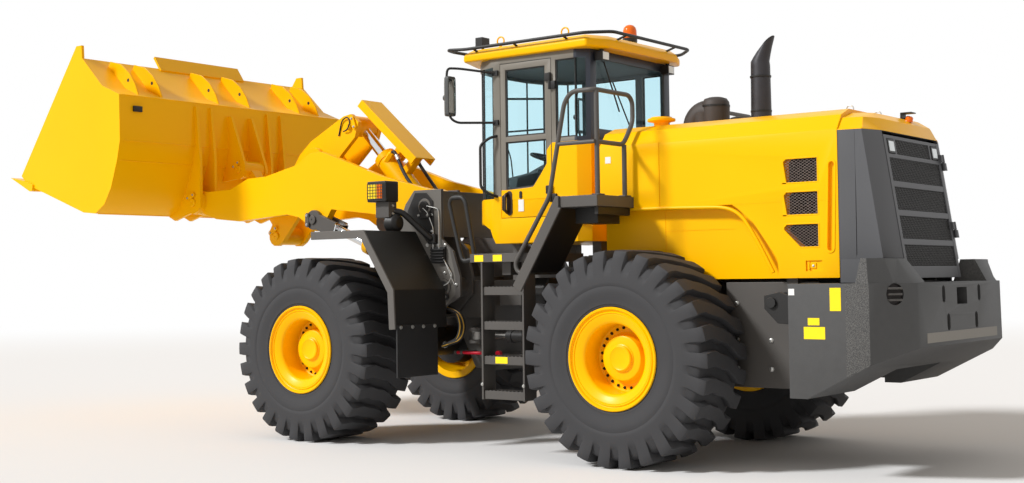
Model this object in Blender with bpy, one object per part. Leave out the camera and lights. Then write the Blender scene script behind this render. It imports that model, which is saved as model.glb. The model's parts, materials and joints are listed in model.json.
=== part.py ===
"""Articulated wheel loader with a Z-bar linkage, about 11 m long as it stands.

Layout frame: origin on the ground at the steering hinge (mid wheelbase),
+X to the bucket, +Y to the machine's left, +Z up.  The root empty shifts the
layout so that the finished part is centred over the origin.
"""
import math

import bmesh
import bpy
from mathutils import Matrix, Vector

# Seats and clearances
SEAT_GAP = 0.0003            # between pieces that are bolted or seated
RUN_GAP = 0.006              # between pieces that move past each other
FACE_GAP = 0.0008            # thrust faces at pins and hubs

# Wheels and axles
WHEELBASE = 3.80
TREAD = 2.44
TYRE_RADIUS = 0.9375
TYRE_SECTION = 0.75
TREAD_WIDTH = 0.69
LUG_DEPTH = 0.07
LUG_COUNT = 26
SEAT_RADIUS = 0.40
BEAD_WIDTH = 0.66
FLANGE_RADIUS = 0.447
FLANGE_THICK = 0.03
FLANGE_LEAN = 0.009          # flange leans with the tyre's side wall
RIM_WALL = 0.025
DISC_INSET = 0.27            # rim flange plane to the wheel disc
DISC_THICK = 0.04
HUB_RADIUS = 0.20
HUB_STANDS = 0.10            # hub cap beyond the wheel disc
AXLE_TUBE_RADIUS = 0.17
AXLE_BOWL_RADIUS = 0.30
DRUM_RADIUS = 0.27
FRONT_X = WHEELBASE / 2
REAR_X = -WHEELBASE / 2
HUB_Y = TREAD / 2
HUB_FACE_Y = HUB_Y - 0.20    # where the wheel hub runs against the axle drum
LUG_LEAD = 2.6               # turn of a lug's shoulder, in quarters of a pitch
HUB_Z = TYRE_RADIUS * math.cos(math.pi / 2 / LUG_COUNT * (LUG_LEAD - 2))
AXLE_PAD_Z = 1.24

# Steering hinge and its cylinders
HINGE_Z = (0.80, 1.42)       # lower and upper bearing, middle heights
TONGUE_THICK = 0.12
EAR_THICK = 0.05
HINGE_RADIUS = 0.16
STEER_BASE = (-0.85, 0.60)
STEER_EYE = (0.46, 0.45)
STEER_Z = 1.06
EYE_STEER = 0.08

# Linkage pins, side view (x, z) as the machine stands
BOOM_PIVOT = (0.922, 2.386)
BUCKET_PIN = (4.62, 2.59)
LIFT_BASE = (0.676, 1.557)
LIFT_EYE = (2.622, 2.311)
BELL_PIVOT = (3.03, 3.02)
BELL_TOP = (2.50, 3.39)
BELL_LOW = (3.71, 2.17)
LINK_PIN = (4.39, 3.00)
TILT_BASE = (1.06, 1.90)

# Boom and cylinders
ARM_Y = 0.568
ARM_THICK = 0.09
PIN_RADIUS = 0.055
BOSS_RADIUS = 0.145
CROSS_TUBE = (2.743, 2.610)
CROSS_RADIUS = 0.12
BELL_PLATE_Y = 0.175
BELL_PLATE_THICK = 0.06
BELL_BRACKET_Y = BELL_PLATE_Y + BELL_PLATE_THICK / 2 + RUN_GAP
EYE_WIDTH = 0.18
LIFT_BARREL_RADIUS = 0.095
LIFT_ROD_RADIUS = 0.05
LIFT_BARREL_LENGTH = 1.29
TILT_BARREL_RADIUS = 0.125
TILT_ROD_RADIUS = 0.062
TILT_BARREL_LENGTH = 1.56
STEER_BARREL_RADIUS = 0.06
STEER_ROD_RADIUS = 0.033
STEER_BARREL_LENGTH = 0.87
BARREL_SIDES = 16
LIFT_STROKE_IN = 0.42        # how far each rod still goes in from here
TILT_STROKE_IN = 0.31
STEER_STROKE_IN = 0.29

# Bucket
BUCKET_HALF = 1.78
BUCKET_SIDE_THICK = 0.035
BUCKET_SHELL_THICK = 0.035
EAR_Y = (0.456, 0.680)
BUCKET_EAR_THICK = 0.04
ARM_BOSS_WIDTH = EAR_Y[1] - EAR_Y[0] - BUCKET_EAR_THICK - 2 * FACE_GAP
LINK_EAR_Y = BELL_PLATE_Y - BELL_PLATE_THICK / 2 + BUCKET_EAR_THICK / 2

# Towers and front frame
TOWER_GAP = 0.225            # between the two plates that hold an arm
TOWER_PLATE = 0.04
TOWER_OUTER_Y = ARM_Y + TOWER_GAP / 2 + TOWER_PLATE
TOWER_INNER_Y = ARM_Y - TOWER_GAP / 2
FENDER_OUT = 1.58
FENDER_IN = 0.80
SHEET = 0.02
FENDER_LIP = 0.105
LIP_STANDS = 0.002           # lip beyond the sheet that it edges

# Rear frame, counterweight and hood
RAIL_Y = 0.44
RAIL_THICK = 0.04
RAIL_REAR_X = -4.0
CW_FRONT_X = -3.48
CW_REAR_X = -4.39
CW_HALF = 1.405
CW_REAR_HALF = 0.973
CW_TOP_Z = 1.567
CW_LOW_Z = 0.66
HORN_TOP_Z = 1.76
HOOD_FRONT_X = -1.36
HOOD_REAR_X = -3.70
HOOD_HALF = 0.90
HOOD_LOWER_HALF = 0.80
HOOD_INNER_HALF = 0.76
HOOD_TOP_Z = 3.02
HOOD_SHOULDER_Z = 2.83
HOOD_LOW_Z = 1.61
CREASE_Z = 2.25
GRILLE_HALF = 0.62
GRILLE_TOP = (-3.98, 2.80)
GRILLE_FOOT = (-4.135, 1.78)
HINGE_LINE_Y = GRILLE_HALF + RUN_GAP / 2
HINGE_PIN = 0.014
HINGE_OUT = 0.02             # hinge lines stand this far out of their panels

# Cab
CAB_REAR_X = -1.15
CAB_HALF = 0.80
CAB_FRONT_X = 0.38
CAB_CORNER_FRONT = (0.32, 0.54)
CAB_CORNER_REAR = (0.14, 0.74)
CAB_FLOOR_Z = 1.98
CAB_TOP_Z = 3.80
CAB_WALL = 0.05
DOOR_X = (-0.745, -0.135)
DOOR_Z = (2.23, 3.74)
DOOR_HINGE_Z = (2.36, 3.44)
SILL_Z = 2.92
ROOF_THICK = 0.13

# Deck, ladder and rails
DECK_X = (-0.92, -0.24)
DECK_TOP_Z = 1.87
DECK_THICK = 0.08
DECK_OUT = 1.43
LADDER_X = (-0.86, -0.37)
LADDER_FOOT_Z = 0.52
STEP_COUNT = 4
PLATFORM_Z = 2.36
PLATFORM_X = (-1.73, -1.30)
SLOPE_FOOT_Z = 1.70
RAIL_OUT = 1.462             # middle of the tube rail
RAIL_RADIUS = 0.021

TIP_X = 6.70                 # bucket cutting edge
MID_X = (TIP_X + CW_REAR_X) / 2

COLOURS = {                  # name: (red, green, blue), roughness, metallic
    "yellow_paint": ((0.95, 0.70, 0.02), 0.35, 0.0),
    "grey_paint": ((0.10, 0.10, 0.095), 0.5, 0.0),
    "black_paint": ((0.02, 0.02, 0.02), 0.5, 0.0),
    "rubber": ((0.03, 0.03, 0.03), 0.85, 0.0),
    "chrome": ((0.8, 0.8, 0.8), 0.12, 1.0),
    "amber": ((0.9, 0.30, 0.02), 0.2, 0.0),
    "cloth": ((0.05, 0.05, 0.055), 0.9, 0.0),
    "counterweight_iron": ((0.10, 0.10, 0.095), 0.6, 0.0),
}


def clear_scene():
    for obj in list(bpy.data.objects):
        bpy.data.objects.remove(obj, do_unlink=True)


def paint(name):
    found = bpy.data.materials.get(name)
    if found:
        return found
    (red, green, blue), roughness, metallic = COLOURS[name]
    made = bpy.data.materials.new(name)
    made.use_nodes = True
    shader = made.node_tree.nodes["Principled BSDF"]
    shader.inputs["Base Color"].default_value = (red, green, blue, 1.0)
    shader.inputs["Roughness"].default_value = roughness
    shader.inputs["Metallic"].default_value = metallic
    return made


def scratch(mesh_builder):
    """Turn a filled bmesh into a working object."""
    mesh = bpy.data.meshes.new("work")
    bmesh.ops.recalc_face_normals(mesh_builder, faces=mesh_builder.faces)
    mesh_builder.to_mesh(mesh)
    mesh_builder.free()
    work = bpy.data.objects.new("work", mesh)
    bpy.context.scene.collection.objects.link(work)
    return work


def ring_solid(rings, closed=False):
    """Skin a list of equal-length point rings, capped at both ends."""
    build = bmesh.new()
    rows = [[build.verts.new(point) for point in ring] for ring in rings]
    count = len(rows[0])
    pairs = list(zip(rows, rows[1:]))
    if closed:
        pairs.append((rows[-1], rows[0]))
    for near, far in pairs:
        for i in range(count):
            j = (i + 1) % count
            build.faces.new((near[i], near[j], far[j], far[i]))
    if not closed:
        build.faces.new(rows[0])
        build.faces.new(list(reversed(rows[-1])))
    return scratch(build)


def slab_y(outline, low, high):
    """A plate cut to an (x, z) outline, between two y values."""
    return ring_solid([[(x, y, z) for x, z in outline] for y in (low, high)])


def slab_z(outline, low, high):
    return ring_solid([[(x, y, z) for x, y in outline] for z in (low, high)])


def slab_x(outline, low, high):
    return ring_solid([[(x, y, z) for y, z in outline] for x in (low, high)])


def block(x_span, y_span, z_span):
    (x0, x1), (y0, y1), (z0, z1) = x_span, y_span, z_span
    return slab_z([(x0, y0), (x1, y0), (x1, y1), (x0, y1)], z0, z1)


def arc(centre, radius, start, end, steps):
    """Points of an arc, angles in degrees."""
    points = []
    for i in range(steps + 1):
        angle = math.radians(start + (end - start) * i / steps)
        points.append((centre[0] + radius * math.cos(angle), centre[1] + radius * math.sin(angle)))
    return points


def frame_along(start, end):
    """Matrix whose local z runs from start to end."""
    start, end = Vector(start), Vector(end)
    turn = (end - start).to_track_quat("Z", "Y")
    return Matrix.Translation(start) @ turn.to_matrix().to_4x4()


def turned(profile, start, end, sides=24):
    """Revolve (distance along, radius) points about the line start-end."""
    matrix = frame_along(start, end)
    rings = []
    for along, radius in profile:
        ring = []
        for i in range(sides):
            angle = 2 * math.pi * (i + 0.5) / sides
            ring.append(matrix @ Vector((radius * math.cos(angle), radius * math.sin(angle), along)))
        rings.append(ring)
    return ring_solid(rings)


def rod(start, end, radius, sides=16):
    length = (Vector(end) - Vector(start)).length
    return turned([(0, radius), (length, radius)], start, end, sides)


def cross_rod(pin, low, high, radius, sides=20):
    """A round bar along y at an (x, z) place."""
    return rod((pin[0], low, pin[1]), (pin[0], high, pin[1]), radius, sides)


def pipe(points, radius, sides=8):
    """A round tube bent along a list of points."""
    points = [Vector(p) for p in points]
    rings = []
    side = None
    for i, point in enumerate(points):
        before = (point - points[i - 1]).normalized() if i else None
        after = (points[i + 1] - point).normalized() if i + 1 < len(points) else None
        tangent = ((before or after) + (after or before)).normalized()
        if side is None:
            side = tangent.orthogonal().normalized()
        side = (side - tangent * side.dot(tangent)).normalized()
        other = tangent.cross(side)
        stretch = 1.0 / max(0.5, tangent.dot(before or after))
        bend = (after - before) if before and after else Vector()
        bend = bend.normalized() if bend.length > 1e-6 else None
        ring = []
        for k in range(sides):
            angle = 2 * math.pi * k / sides
            offset = side * math.cos(angle) * radius + other * math.sin(angle) * radius
            if bend:
                offset += bend * offset.dot(bend) * (stretch - 1.0)
            ring.append(point + offset)
        rings.append(ring)
    return ring_solid(rings)


def apply_boolean(target, tool, operation):
    change = target.modifiers.new("cut", "BOOLEAN")
    change.operation = operation
    change.solver = "EXACT"
    change.object = tool
    graph = bpy.context.evaluated_depsgraph_get()
    result = bpy.data.meshes.new_from_object(target.evaluated_get(graph))
    target.modifiers.clear()
    target.data = result
    bpy.data.objects.remove(tool, do_unlink=True)


def fuse(parts, cutters=()):
    body = parts[0]
    for part in parts[1:]:
        apply_boolean(body, part, "UNION")
    for cutter in cutters:
        apply_boolean(body, cutter, "DIFFERENCE")
    return body


def mirrored(work):
    """A copy of a working object on the other side of the machine."""
    twin = work.copy()
    twin.data = work.data.copy()
    twin.data.transform(Matrix.Scale(-1, 4, (0, 1, 0)))
    twin.data.flip_normals()
    bpy.context.scene.collection.objects.link(twin)
    return twin


def place(work, name, colour, origin=(0, 0, 0), smooth=False):
    """Name a finished piece, give it its paint and its origin."""
    work.name = name
    work.data.name = name
    cleaner = bmesh.new()
    cleaner.from_mesh(work.data)
    bmesh.ops.remove_doubles(cleaner, verts=cleaner.verts, dist=0.00002)
    bmesh.ops.dissolve_limit(cleaner, angle_limit=math.radians(0.05), verts=cleaner.verts,
                             edges=cleaner.edges)
    bmesh.ops.triangulate(cleaner, faces=[f for f in cleaner.faces if len(f.verts) > 4])
    cleaner.to_mesh(work.data)
    cleaner.free()
    work.data.transform(Matrix.Translation(-Vector(origin)))
    work.location = origin
    work.data.materials.clear()
    work.data.materials.append(paint(colour))
    if smooth:
        work.data.shade_smooth()
        work.data.set_sharp_from_angle(angle=math.radians(35))
    work.parent = ROOT
    return work


def both_sides(work, name, colour, origin=(0, 0, 0), smooth=False):
    """Place a piece on the left and its mirror image on the right."""
    twin = mirrored(work)
    place(work, name + "_left", colour, origin, smooth)
    place(twin, name + "_right", colour, (origin[0], -origin[1], origin[2]), smooth)


def along(start, end, distance):
    """The (x, z) point a distance from start towards end."""
    direction = (Vector(end) - Vector(start)).normalized()
    return tuple(Vector(start) + direction * distance)


def tyre_ring(radius, y, phase, centre):
    points = []
    for i in range(len(radius)):
        angle = 2 * math.pi * (i + phase) / len(radius)
        points.append((centre[0] + radius[i] * math.cos(angle), centre[1] + y[i],
                       centre[2] + radius[i] * math.sin(angle)))
    return points


def tyre(name, centre):
    """A tyre with diagonal lugs that run over both shoulders.

    Each lug pitch has four stations: lug start, lug end, groove start, groove end.
    """
    fine = LUG_COUNT * 4
    coarse = LUG_COUNT * 2
    half = TREAD_WIDTH / 2
    base = TYRE_RADIUS - LUG_DEPTH
    lug = [0, 0, 1, 1]
    # y, lug radius, groove radius, groove pull-in, phase in stations
    tread_rows = [
        (-TYRE_SECTION / 2 + 0.012, 0.80, 0.79, 0.035, 3.0),
        (-half, TYRE_RADIUS, base, 0.03, LUG_LEAD),
        (0.0, TYRE_RADIUS, TYRE_RADIUS - 0.01, 0.0, 0.0),
        (half, TYRE_RADIUS, base, 0.03, 2 - LUG_LEAD),
        (TYRE_SECTION / 2 - 0.012, 0.80, 0.79, 0.035, -1.0),
    ]
    wall_rows = [(-TYRE_SECTION / 2, 0.66), (-BEAD_WIDTH / 2, SEAT_RADIUS)]
    build = bmesh.new()

    def add_ring(radii, ys, phase):
        return [build.verts.new(p) for p in tyre_ring(radii, ys, phase, (0, 0, 0))]

    rings = []
    for y, top, low, pull, phase in tread_rows:
        inward = -math.copysign(pull, y) if y else 0.0
        radii = [low if lug[i % 4] else top for i in range(fine)]
        ys = [y + inward if lug[i % 4] else y for i in range(fine)]
        rings.append(add_ring(radii, ys, phase))
    left = [add_ring([r] * coarse, [y] * coarse, tread_rows[0][4] / 2) for y, r in wall_rows]
    right = [add_ring([r] * coarse, [-y] * coarse, tread_rows[-1][4] / 2) for y, r in wall_rows]
    for near, far in zip(rings, rings[1:]):
        for i in range(fine):
            j = (i + 1) % fine
            build.faces.new((near[i], near[j], far[j]))
            build.faces.new((near[i], far[j], far[i]))
    for edge, side in ((rings[0], left[0]), (rings[-1], right[0])):
        for i in range(coarse):
            j = (i + 1) % coarse
            first, mid, last = edge[2 * i], edge[2 * i + 1], edge[(2 * i + 2) % fine]
            build.faces.new((side[i], mid, first))
            build.faces.new((side[i], side[j], mid))
            build.faces.new((side[j], last, mid))
    turn = round((tread_rows[0][4] - tread_rows[-1][4]) / 2)     # lines the two bead rings up
    for near, far, shift in ((left[0], left[1], 0), (left[1], right[1], turn), (right[1], right[0], 0)):
        for i in range(coarse):
            j = (i + 1) % coarse
            far_i, far_j = (i + shift) % coarse, (j + shift) % coarse
            build.faces.new((near[i], near[j], far[far_j], far[far_i]))
    work = scratch(build)
    work.data.transform(Matrix.Translation(Vector(centre)))
    work.name = name
    work.data.transform(Matrix.Translation(-Vector(centre)))
    work.location = centre
    work.data.materials.append(paint("rubber"))
    work.parent = ROOT


def rim(name, centre, outward):
    """Rim barrel with flanges, the deep-set disc and the hub cap, turned in one."""
    edge = BEAD_WIDTH / 2 + SEAT_GAP
    flange = edge + FLANGE_THICK
    disc_out = flange - DISC_INSET
    disc_in = disc_out - DISC_THICK
    seat = SEAT_RADIUS * math.cos(math.pi / (2 * LUG_COUNT)) - SEAT_GAP
    inner = seat - RIM_WALL
    hub_back = HUB_FACE_Y - HUB_Y
    profile = [
        (-flange, inner), (-flange, FLANGE_RADIUS), (-edge - FLANGE_LEAN, FLANGE_RADIUS), (-edge, seat),
        (edge, seat), (edge + FLANGE_LEAN, FLANGE_RADIUS), (flange, FLANGE_RADIUS), (flange, inner),
        (disc_out, inner - 0.02), (disc_out, HUB_RADIUS), (disc_out + HUB_STANDS, HUB_RADIUS - 0.02),
        (disc_out + HUB_STANDS, 0.0), (hub_back, 0.0), (hub_back, HUB_RADIUS + 0.03),
        (disc_in, HUB_RADIUS + 0.05), (disc_in, inner),
    ]
    sides = 20
    build = bmesh.new()
    rows = []
    for y, radius in profile:
        if radius == 0.0:
            rows.append([build.verts.new((0, y * outward, 0))])
            continue
        row = []
        for i in range(sides):
            angle = 2 * math.pi * i / sides
            row.append(build.verts.new((radius * math.cos(angle), y * outward, radius * math.sin(angle))))
        rows.append(row)
    for near, far in zip(rows, rows[1:] + rows[:1]):
        for i in range(sides):
            j = (i + 1) % sides
            if len(near) == 1 and len(far) == 1:
                continue
            if len(near) == 1:
                build.faces.new((near[0], far[j], far[i]))
            elif len(far) == 1:
                build.faces.new((near[i], near[j], far[0]))
            else:
                build.faces.new((near[i], near[j], far[j], far[i]))
    work = scratch(build)
    work.name = name
    work.location = centre
    work.data.materials.append(paint("yellow_paint"))
    work.data.shade_smooth()
    work.data.set_sharp_from_angle(angle=math.radians(35))
    work.parent = ROOT


def wheels():
    # name, axle x, side
    table = [("front_left", FRONT_X, 1), ("front_right", FRONT_X, -1),
             ("rear_left", REAR_X, 1), ("rear_right", REAR_X, -1)]
    for name, x, side in table:
        centre = (x, side * HUB_Y, HUB_Z)
        tyre("tyre_" + name, centre)
        rim("rim_" + name, centre, side)


def axle(name, x):
    """Axle housing: centre bowl, tapered tubes and the brake drums at the hubs."""
    end = HUB_FACE_Y - FACE_GAP
    profile = [(0.0, DRUM_RADIUS), (0.20, DRUM_RADIUS), (0.22, AXLE_TUBE_RADIUS),
               (end - 0.36, AXLE_TUBE_RADIUS), (end - 0.26, AXLE_BOWL_RADIUS - 0.04),
               (end - 0.14, AXLE_BOWL_RADIUS)]
    mirror_half = [(2 * end - d, r) for d, r in reversed(profile)]
    housing = turned(profile + mirror_half, (x, -end, HUB_Z), (x, end, HUB_Z), 20)
    pads = [block((x - 0.16, x + 0.16), (s * RAIL_Y - 0.10, s * RAIL_Y + 0.10),
                  (HUB_Z, AXLE_PAD_Z)) for s in (1, -1)]
    place(fuse([housing] + pads), name, "yellow_paint", (x, 0, HUB_Z))


def mirrored_outline(half_outline):
    """Close a plan outline from its +y half, given front to back."""
    return half_outline + [(x, -y) for x, y in reversed(half_outline)]


def rear_frame():
    """Two rails, cross members, hinge ears, cab posts and the steering anchors."""
    rail = [(-0.42, 0.67), (-0.42, 0.93), (-0.72, 0.93), (-0.79, 1.0), (-0.79, 1.12), (-0.72, 1.19),
            (-0.42, 1.19), (-0.42, 1.52), (-1.15, 1.60), (RAIL_REAR_X, 1.60), (RAIL_REAR_X, 1.05),
            (-2.75, 1.05), (-2.35, AXLE_PAD_Z + SEAT_GAP), (-1.45, AXLE_PAD_Z + SEAT_GAP),
            (-1.05, 0.67)]
    parts = [slab_y(rail, s * RAIL_Y - RAIL_THICK / 2, s * RAIL_Y + RAIL_THICK / 2) for s in (1, -1)]
    inside = RAIL_Y - RAIL_THICK / 2 + 0.01
    # x span, half width, z span of each cross member
    for x_span, half, z_span in [((-0.50, -0.44), 0.34, (0.90, 1.22)), ((-0.502, -0.438), inside, (0.68, 0.91)),
                                 ((-0.502, -0.438), inside, (1.21, 1.51)),
                                 ((-1.12, -1.06), inside, (0.80, 1.55)),
                                 ((RAIL_REAR_X + 0.002, RAIL_REAR_X + 0.06), inside, (1.07, 1.58))]:
        parts.append(block(x_span, (-half, half), z_span))
    for middle in HINGE_Z:
        for side in (1, -1):
            low = middle + side * (TONGUE_THICK / 2 + FACE_GAP)
            high = low + side * EAR_THICK
            ear = [(-0.47, -0.30), (-0.47, 0.30)] + arc((0, 0), HINGE_RADIUS, 90, -90, 10)
            parts.append(slab_z(ear, min(low, high), max(low, high)))
    for side in (1, -1):
        for edge in (-1, 1):
            low = STEER_Z + edge * (EYE_STEER / 2 + FACE_GAP)
            high = low + edge * 0.04
            x, y = STEER_BASE
            plate = [(x - 0.16, side * (RAIL_Y + 0.005)), (x + 0.16, side * (RAIL_Y + 0.005)),
                     (x + 0.07, side * (y + 0.07)), (x - 0.07, side * (y + 0.07))]
            parts.append(slab_z(plate, min(low, high), max(low, high)))
        # deck arms, their posts, the cab posts and the hood's outriggers: x, y and z spans
        for x_span, near, far, z_span in [
                ((-0.62, -0.52), 0.43, 1.30, (DECK_TOP_Z - DECK_THICK - 0.12, DECK_TOP_Z - DECK_THICK - SEAT_GAP)),
                ((-0.61, -0.53), 0.43, 0.50, (1.40, 1.72)),
                ((-1.12, -1.02), 0.43, 0.53, (1.50, CAB_FLOOR_Z - SEAT_GAP)),
                ((-0.16, -0.06), 0.43, 0.53, (1.62, CAB_FLOOR_Z - SEAT_GAP)),
                ((-0.60, -0.07), 0.43, 0.49, (1.63, 1.70)),
                ((-1.45, -1.38), 0.43, 0.795, (1.53, HOOD_LOW_Z - SEAT_GAP)),
                ((-3.30, -3.20), 0.43, 0.85, (1.53, HOOD_LOW_Z - SEAT_GAP))]:
            parts.append(block(x_span, sorted((side * near, side * far)), z_span))
    # counterweight and radiator seat
    parts.append(block((-3.98, CW_FRONT_X + 0.05), (-0.43, 0.43), (1.12, 1.18)))
    place(fuse(parts), "rear_frame", "grey_paint")


def front_frame():
    """Hinge tongues, box body, four tower plates and the cylinder anchors."""
    parts = [block((0.40, 2.35), (-0.40, 0.40), (AXLE_PAD_Z + SEAT_GAP, 1.62))]
    neck = [(0.36, 0.70), (0.36, 1.50), (0.60, 1.60), (0.90, 1.60), (0.90, 1.26), (0.62, 0.72)]
    parts.append(slab_y(neck, -0.30, 0.30))
    for middle in HINGE_Z:
        tongue = [(0.42, 0.22), (0.42, -0.22)] + arc((0, 0), HINGE_RADIUS, -90, -270, 10)
        parts.append(slab_z(tongue, middle - TONGUE_THICK / 2, middle + TONGUE_THICK / 2))
    tower = [(0.53, 1.66), (0.60, 1.94), (0.71, 2.05), (0.71, 2.56), (1.08, 2.56), (1.20, 2.42),
             (1.34, 2.10), (1.80, 1.62), (2.10, 1.56), (2.10, AXLE_PAD_Z + SEAT_GAP), (0.74, 1.28),
             (0.67, 1.36), (0.53, 1.48)]
    plates = [(TOWER_OUTER_Y - TOWER_PLATE, TOWER_OUTER_Y), (TOWER_INNER_Y - TOWER_PLATE, TOWER_INNER_Y)]
    for side in (1, -1):
        for low, high in plates:
            parts.append(slab_y(tower, *sorted((side * low, side * high))))
        parts.append(block((0.80, 2.05), sorted((side * 0.38, side * (TOWER_OUTER_Y - 0.02))), (1.25, 1.275)))
        for pin in (BOOM_PIVOT, LIFT_BASE):
            outside = side * (TOWER_OUTER_Y + 0.02)
            parts.append(cross_rod(pin, *sorted((side * (TOWER_OUTER_Y - 0.01), outside)), PIN_RADIUS + 0.03))
        for edge in (-1, 1):
            low = STEER_Z + edge * (EYE_STEER / 2 + FACE_GAP)
            high = low + edge * 0.04
            x, y = STEER_EYE
            plate = [(x - 0.07, side * (y + 0.07)), (x + 0.07, side * (y + 0.07)),
                     (x + 0.20, side * 0.28), (x - 0.06, side * 0.28)]
            parts.append(slab_z(plate, min(low, high), max(low, high)))
        # fender bracket
        parts.append(block((1.30, 1.40), sorted((side * (TOWER_OUTER_Y - 0.01), side * (FENDER_IN + 0.25))),
                           (2.03, 2.13 - SHEET - SEAT_GAP)))
        parts.append(block((1.30, 1.40), sorted((side * (TOWER_OUTER_Y - 0.02), side * (TOWER_OUTER_Y + 0.03))),
                           (1.80, 2.05)))
    # tilt cylinder ears on a cross plate between the inner tower plates
    inner = TOWER_INNER_Y - TOWER_PLATE + 0.01
    parts.append(block((0.80, 1.36), (-inner, inner), (1.60, 1.66)))
    ear = [(0.84, 1.64), (1.30, 1.64)] + arc(TILT_BASE, 0.13, 0, 180, 8)
    for side in (1, -1):
        low = EYE_WIDTH / 2 + FACE_GAP
        parts.append(slab_y(ear, *sorted((side * low, side * (low + 0.045)))))
    place(fuse(parts), "front_frame", "grey_paint")


def boom():
    """Two arms with pivot bosses, the cross tube and the bellcrank brackets."""
    pivot, tip = BOOM_PIVOT, BUCKET_PIN
    top = [(1.65, 2.75), (2.55, 3.07), (2.72, 3.06), (2.95, 2.94), (3.45, 2.84), (3.75, 2.83),
           (4.05, 2.72), (4.45, 2.71)]
    low = [(4.30, 2.38), (3.90, 2.34), (3.10, 2.39), (2.90, 2.35)]
    low += arc(LIFT_EYE, 0.125, -30, -150, 4) + [(2.39, 2.42), (1.80, 2.35)]
    outline = arc(pivot, 0.175, 270, 90, 6) + top + arc(tip, 0.13, 80, -110, 6) + low
    parts = []
    tube, hub = Vector(CROSS_TUBE), Vector(BELL_PIVOT)
    lean = math.degrees(math.atan2(hub.y - tube.y, hub.x - tube.x))
    normal = Vector((-math.sin(math.radians(lean)), math.cos(math.radians(lean)))) * 0.11
    bracket = [tuple(tube + normal), tuple(tube - normal)] + arc(BELL_PIVOT, 0.15, lean - 90, lean + 90, 8)
    for side in (1, -1):
        faces = sorted((side * (ARM_Y - ARM_THICK / 2), side * (ARM_Y + ARM_THICK / 2)))
        parts.append(slab_y(outline, *faces))
        # pin, boss width, boss radius
        for pin, width, radius in ((pivot, TOWER_GAP - 2 * FACE_GAP, 0.19), (tip, ARM_BOSS_WIDTH, BOSS_RADIUS)):
            boss = sorted((side * (ARM_Y - width / 2), side * (ARM_Y + width / 2)))
            parts.append(cross_rod(pin, *boss, radius))
        parts.append(slab_y(bracket, *sorted((side * BELL_BRACKET_Y, side * (BELL_BRACKET_Y + 0.05)))))
    reach = ARM_Y - ARM_THICK / 2 + 0.01
    parts.append(cross_rod(CROSS_TUBE, -reach, reach, CROSS_RADIUS))
    place(fuse(parts), "boom", "yellow_paint", (pivot[0], 0, pivot[1]))


def bellcrank():
    """Two cranked plates on a hub, with the forks for the rod and the link."""
    left = [(2.60, 3.50), (3.12, 3.25), (3.30, 3.11), (3.42, 2.95), (3.60, 2.60), (3.83, 2.22)]
    right = [(3.60, 2.10), (3.30, 2.42), (2.98, 2.72), (2.80, 2.92), (2.42, 3.25), (2.36, 3.42), (2.48, 3.52)]
    outline = left + arc(BELL_LOW, 0.12, 10, -130, 5) + right
    parts = []
    for side in (1, -1):
        inner = BELL_PLATE_Y - BELL_PLATE_THICK / 2
        outer = BELL_PLATE_Y + BELL_PLATE_THICK / 2
        parts.append(slab_y(outline, *sorted((side * inner, side * outer))))
    hub = BELL_BRACKET_Y - FACE_GAP
    parts.append(cross_rod(BELL_PIVOT, -hub, hub, 0.13))
    place(fuse(parts), "bellcrank", "yellow_paint", (BELL_PIVOT[0], 0, BELL_PIVOT[1]))


def bucket_link():
    """The bar from the bellcrank to the bucket, an eye at each end."""
    half = BELL_PLATE_Y - BELL_PLATE_THICK / 2 - FACE_GAP
    direction = (Vector(LINK_PIN) - Vector(BELL_LOW)).normalized()
    normal = Vector((-direction.y, direction.x)) * 0.075
    outline = [Vector(BELL_LOW) + normal, Vector(BELL_LOW) - normal,
               Vector(LINK_PIN) - normal, Vector(LINK_PIN) + normal]
    parts = [slab_y([tuple(p) for p in outline], -0.07, 0.07)]
    parts += [cross_rod(pin, -half, half, 0.105) for pin in (BELL_LOW, LINK_PIN)]
    place(fuse(parts), "bucket_link", "yellow_paint", (BELL_LOW[0], 0, BELL_LOW[1]))


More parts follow.
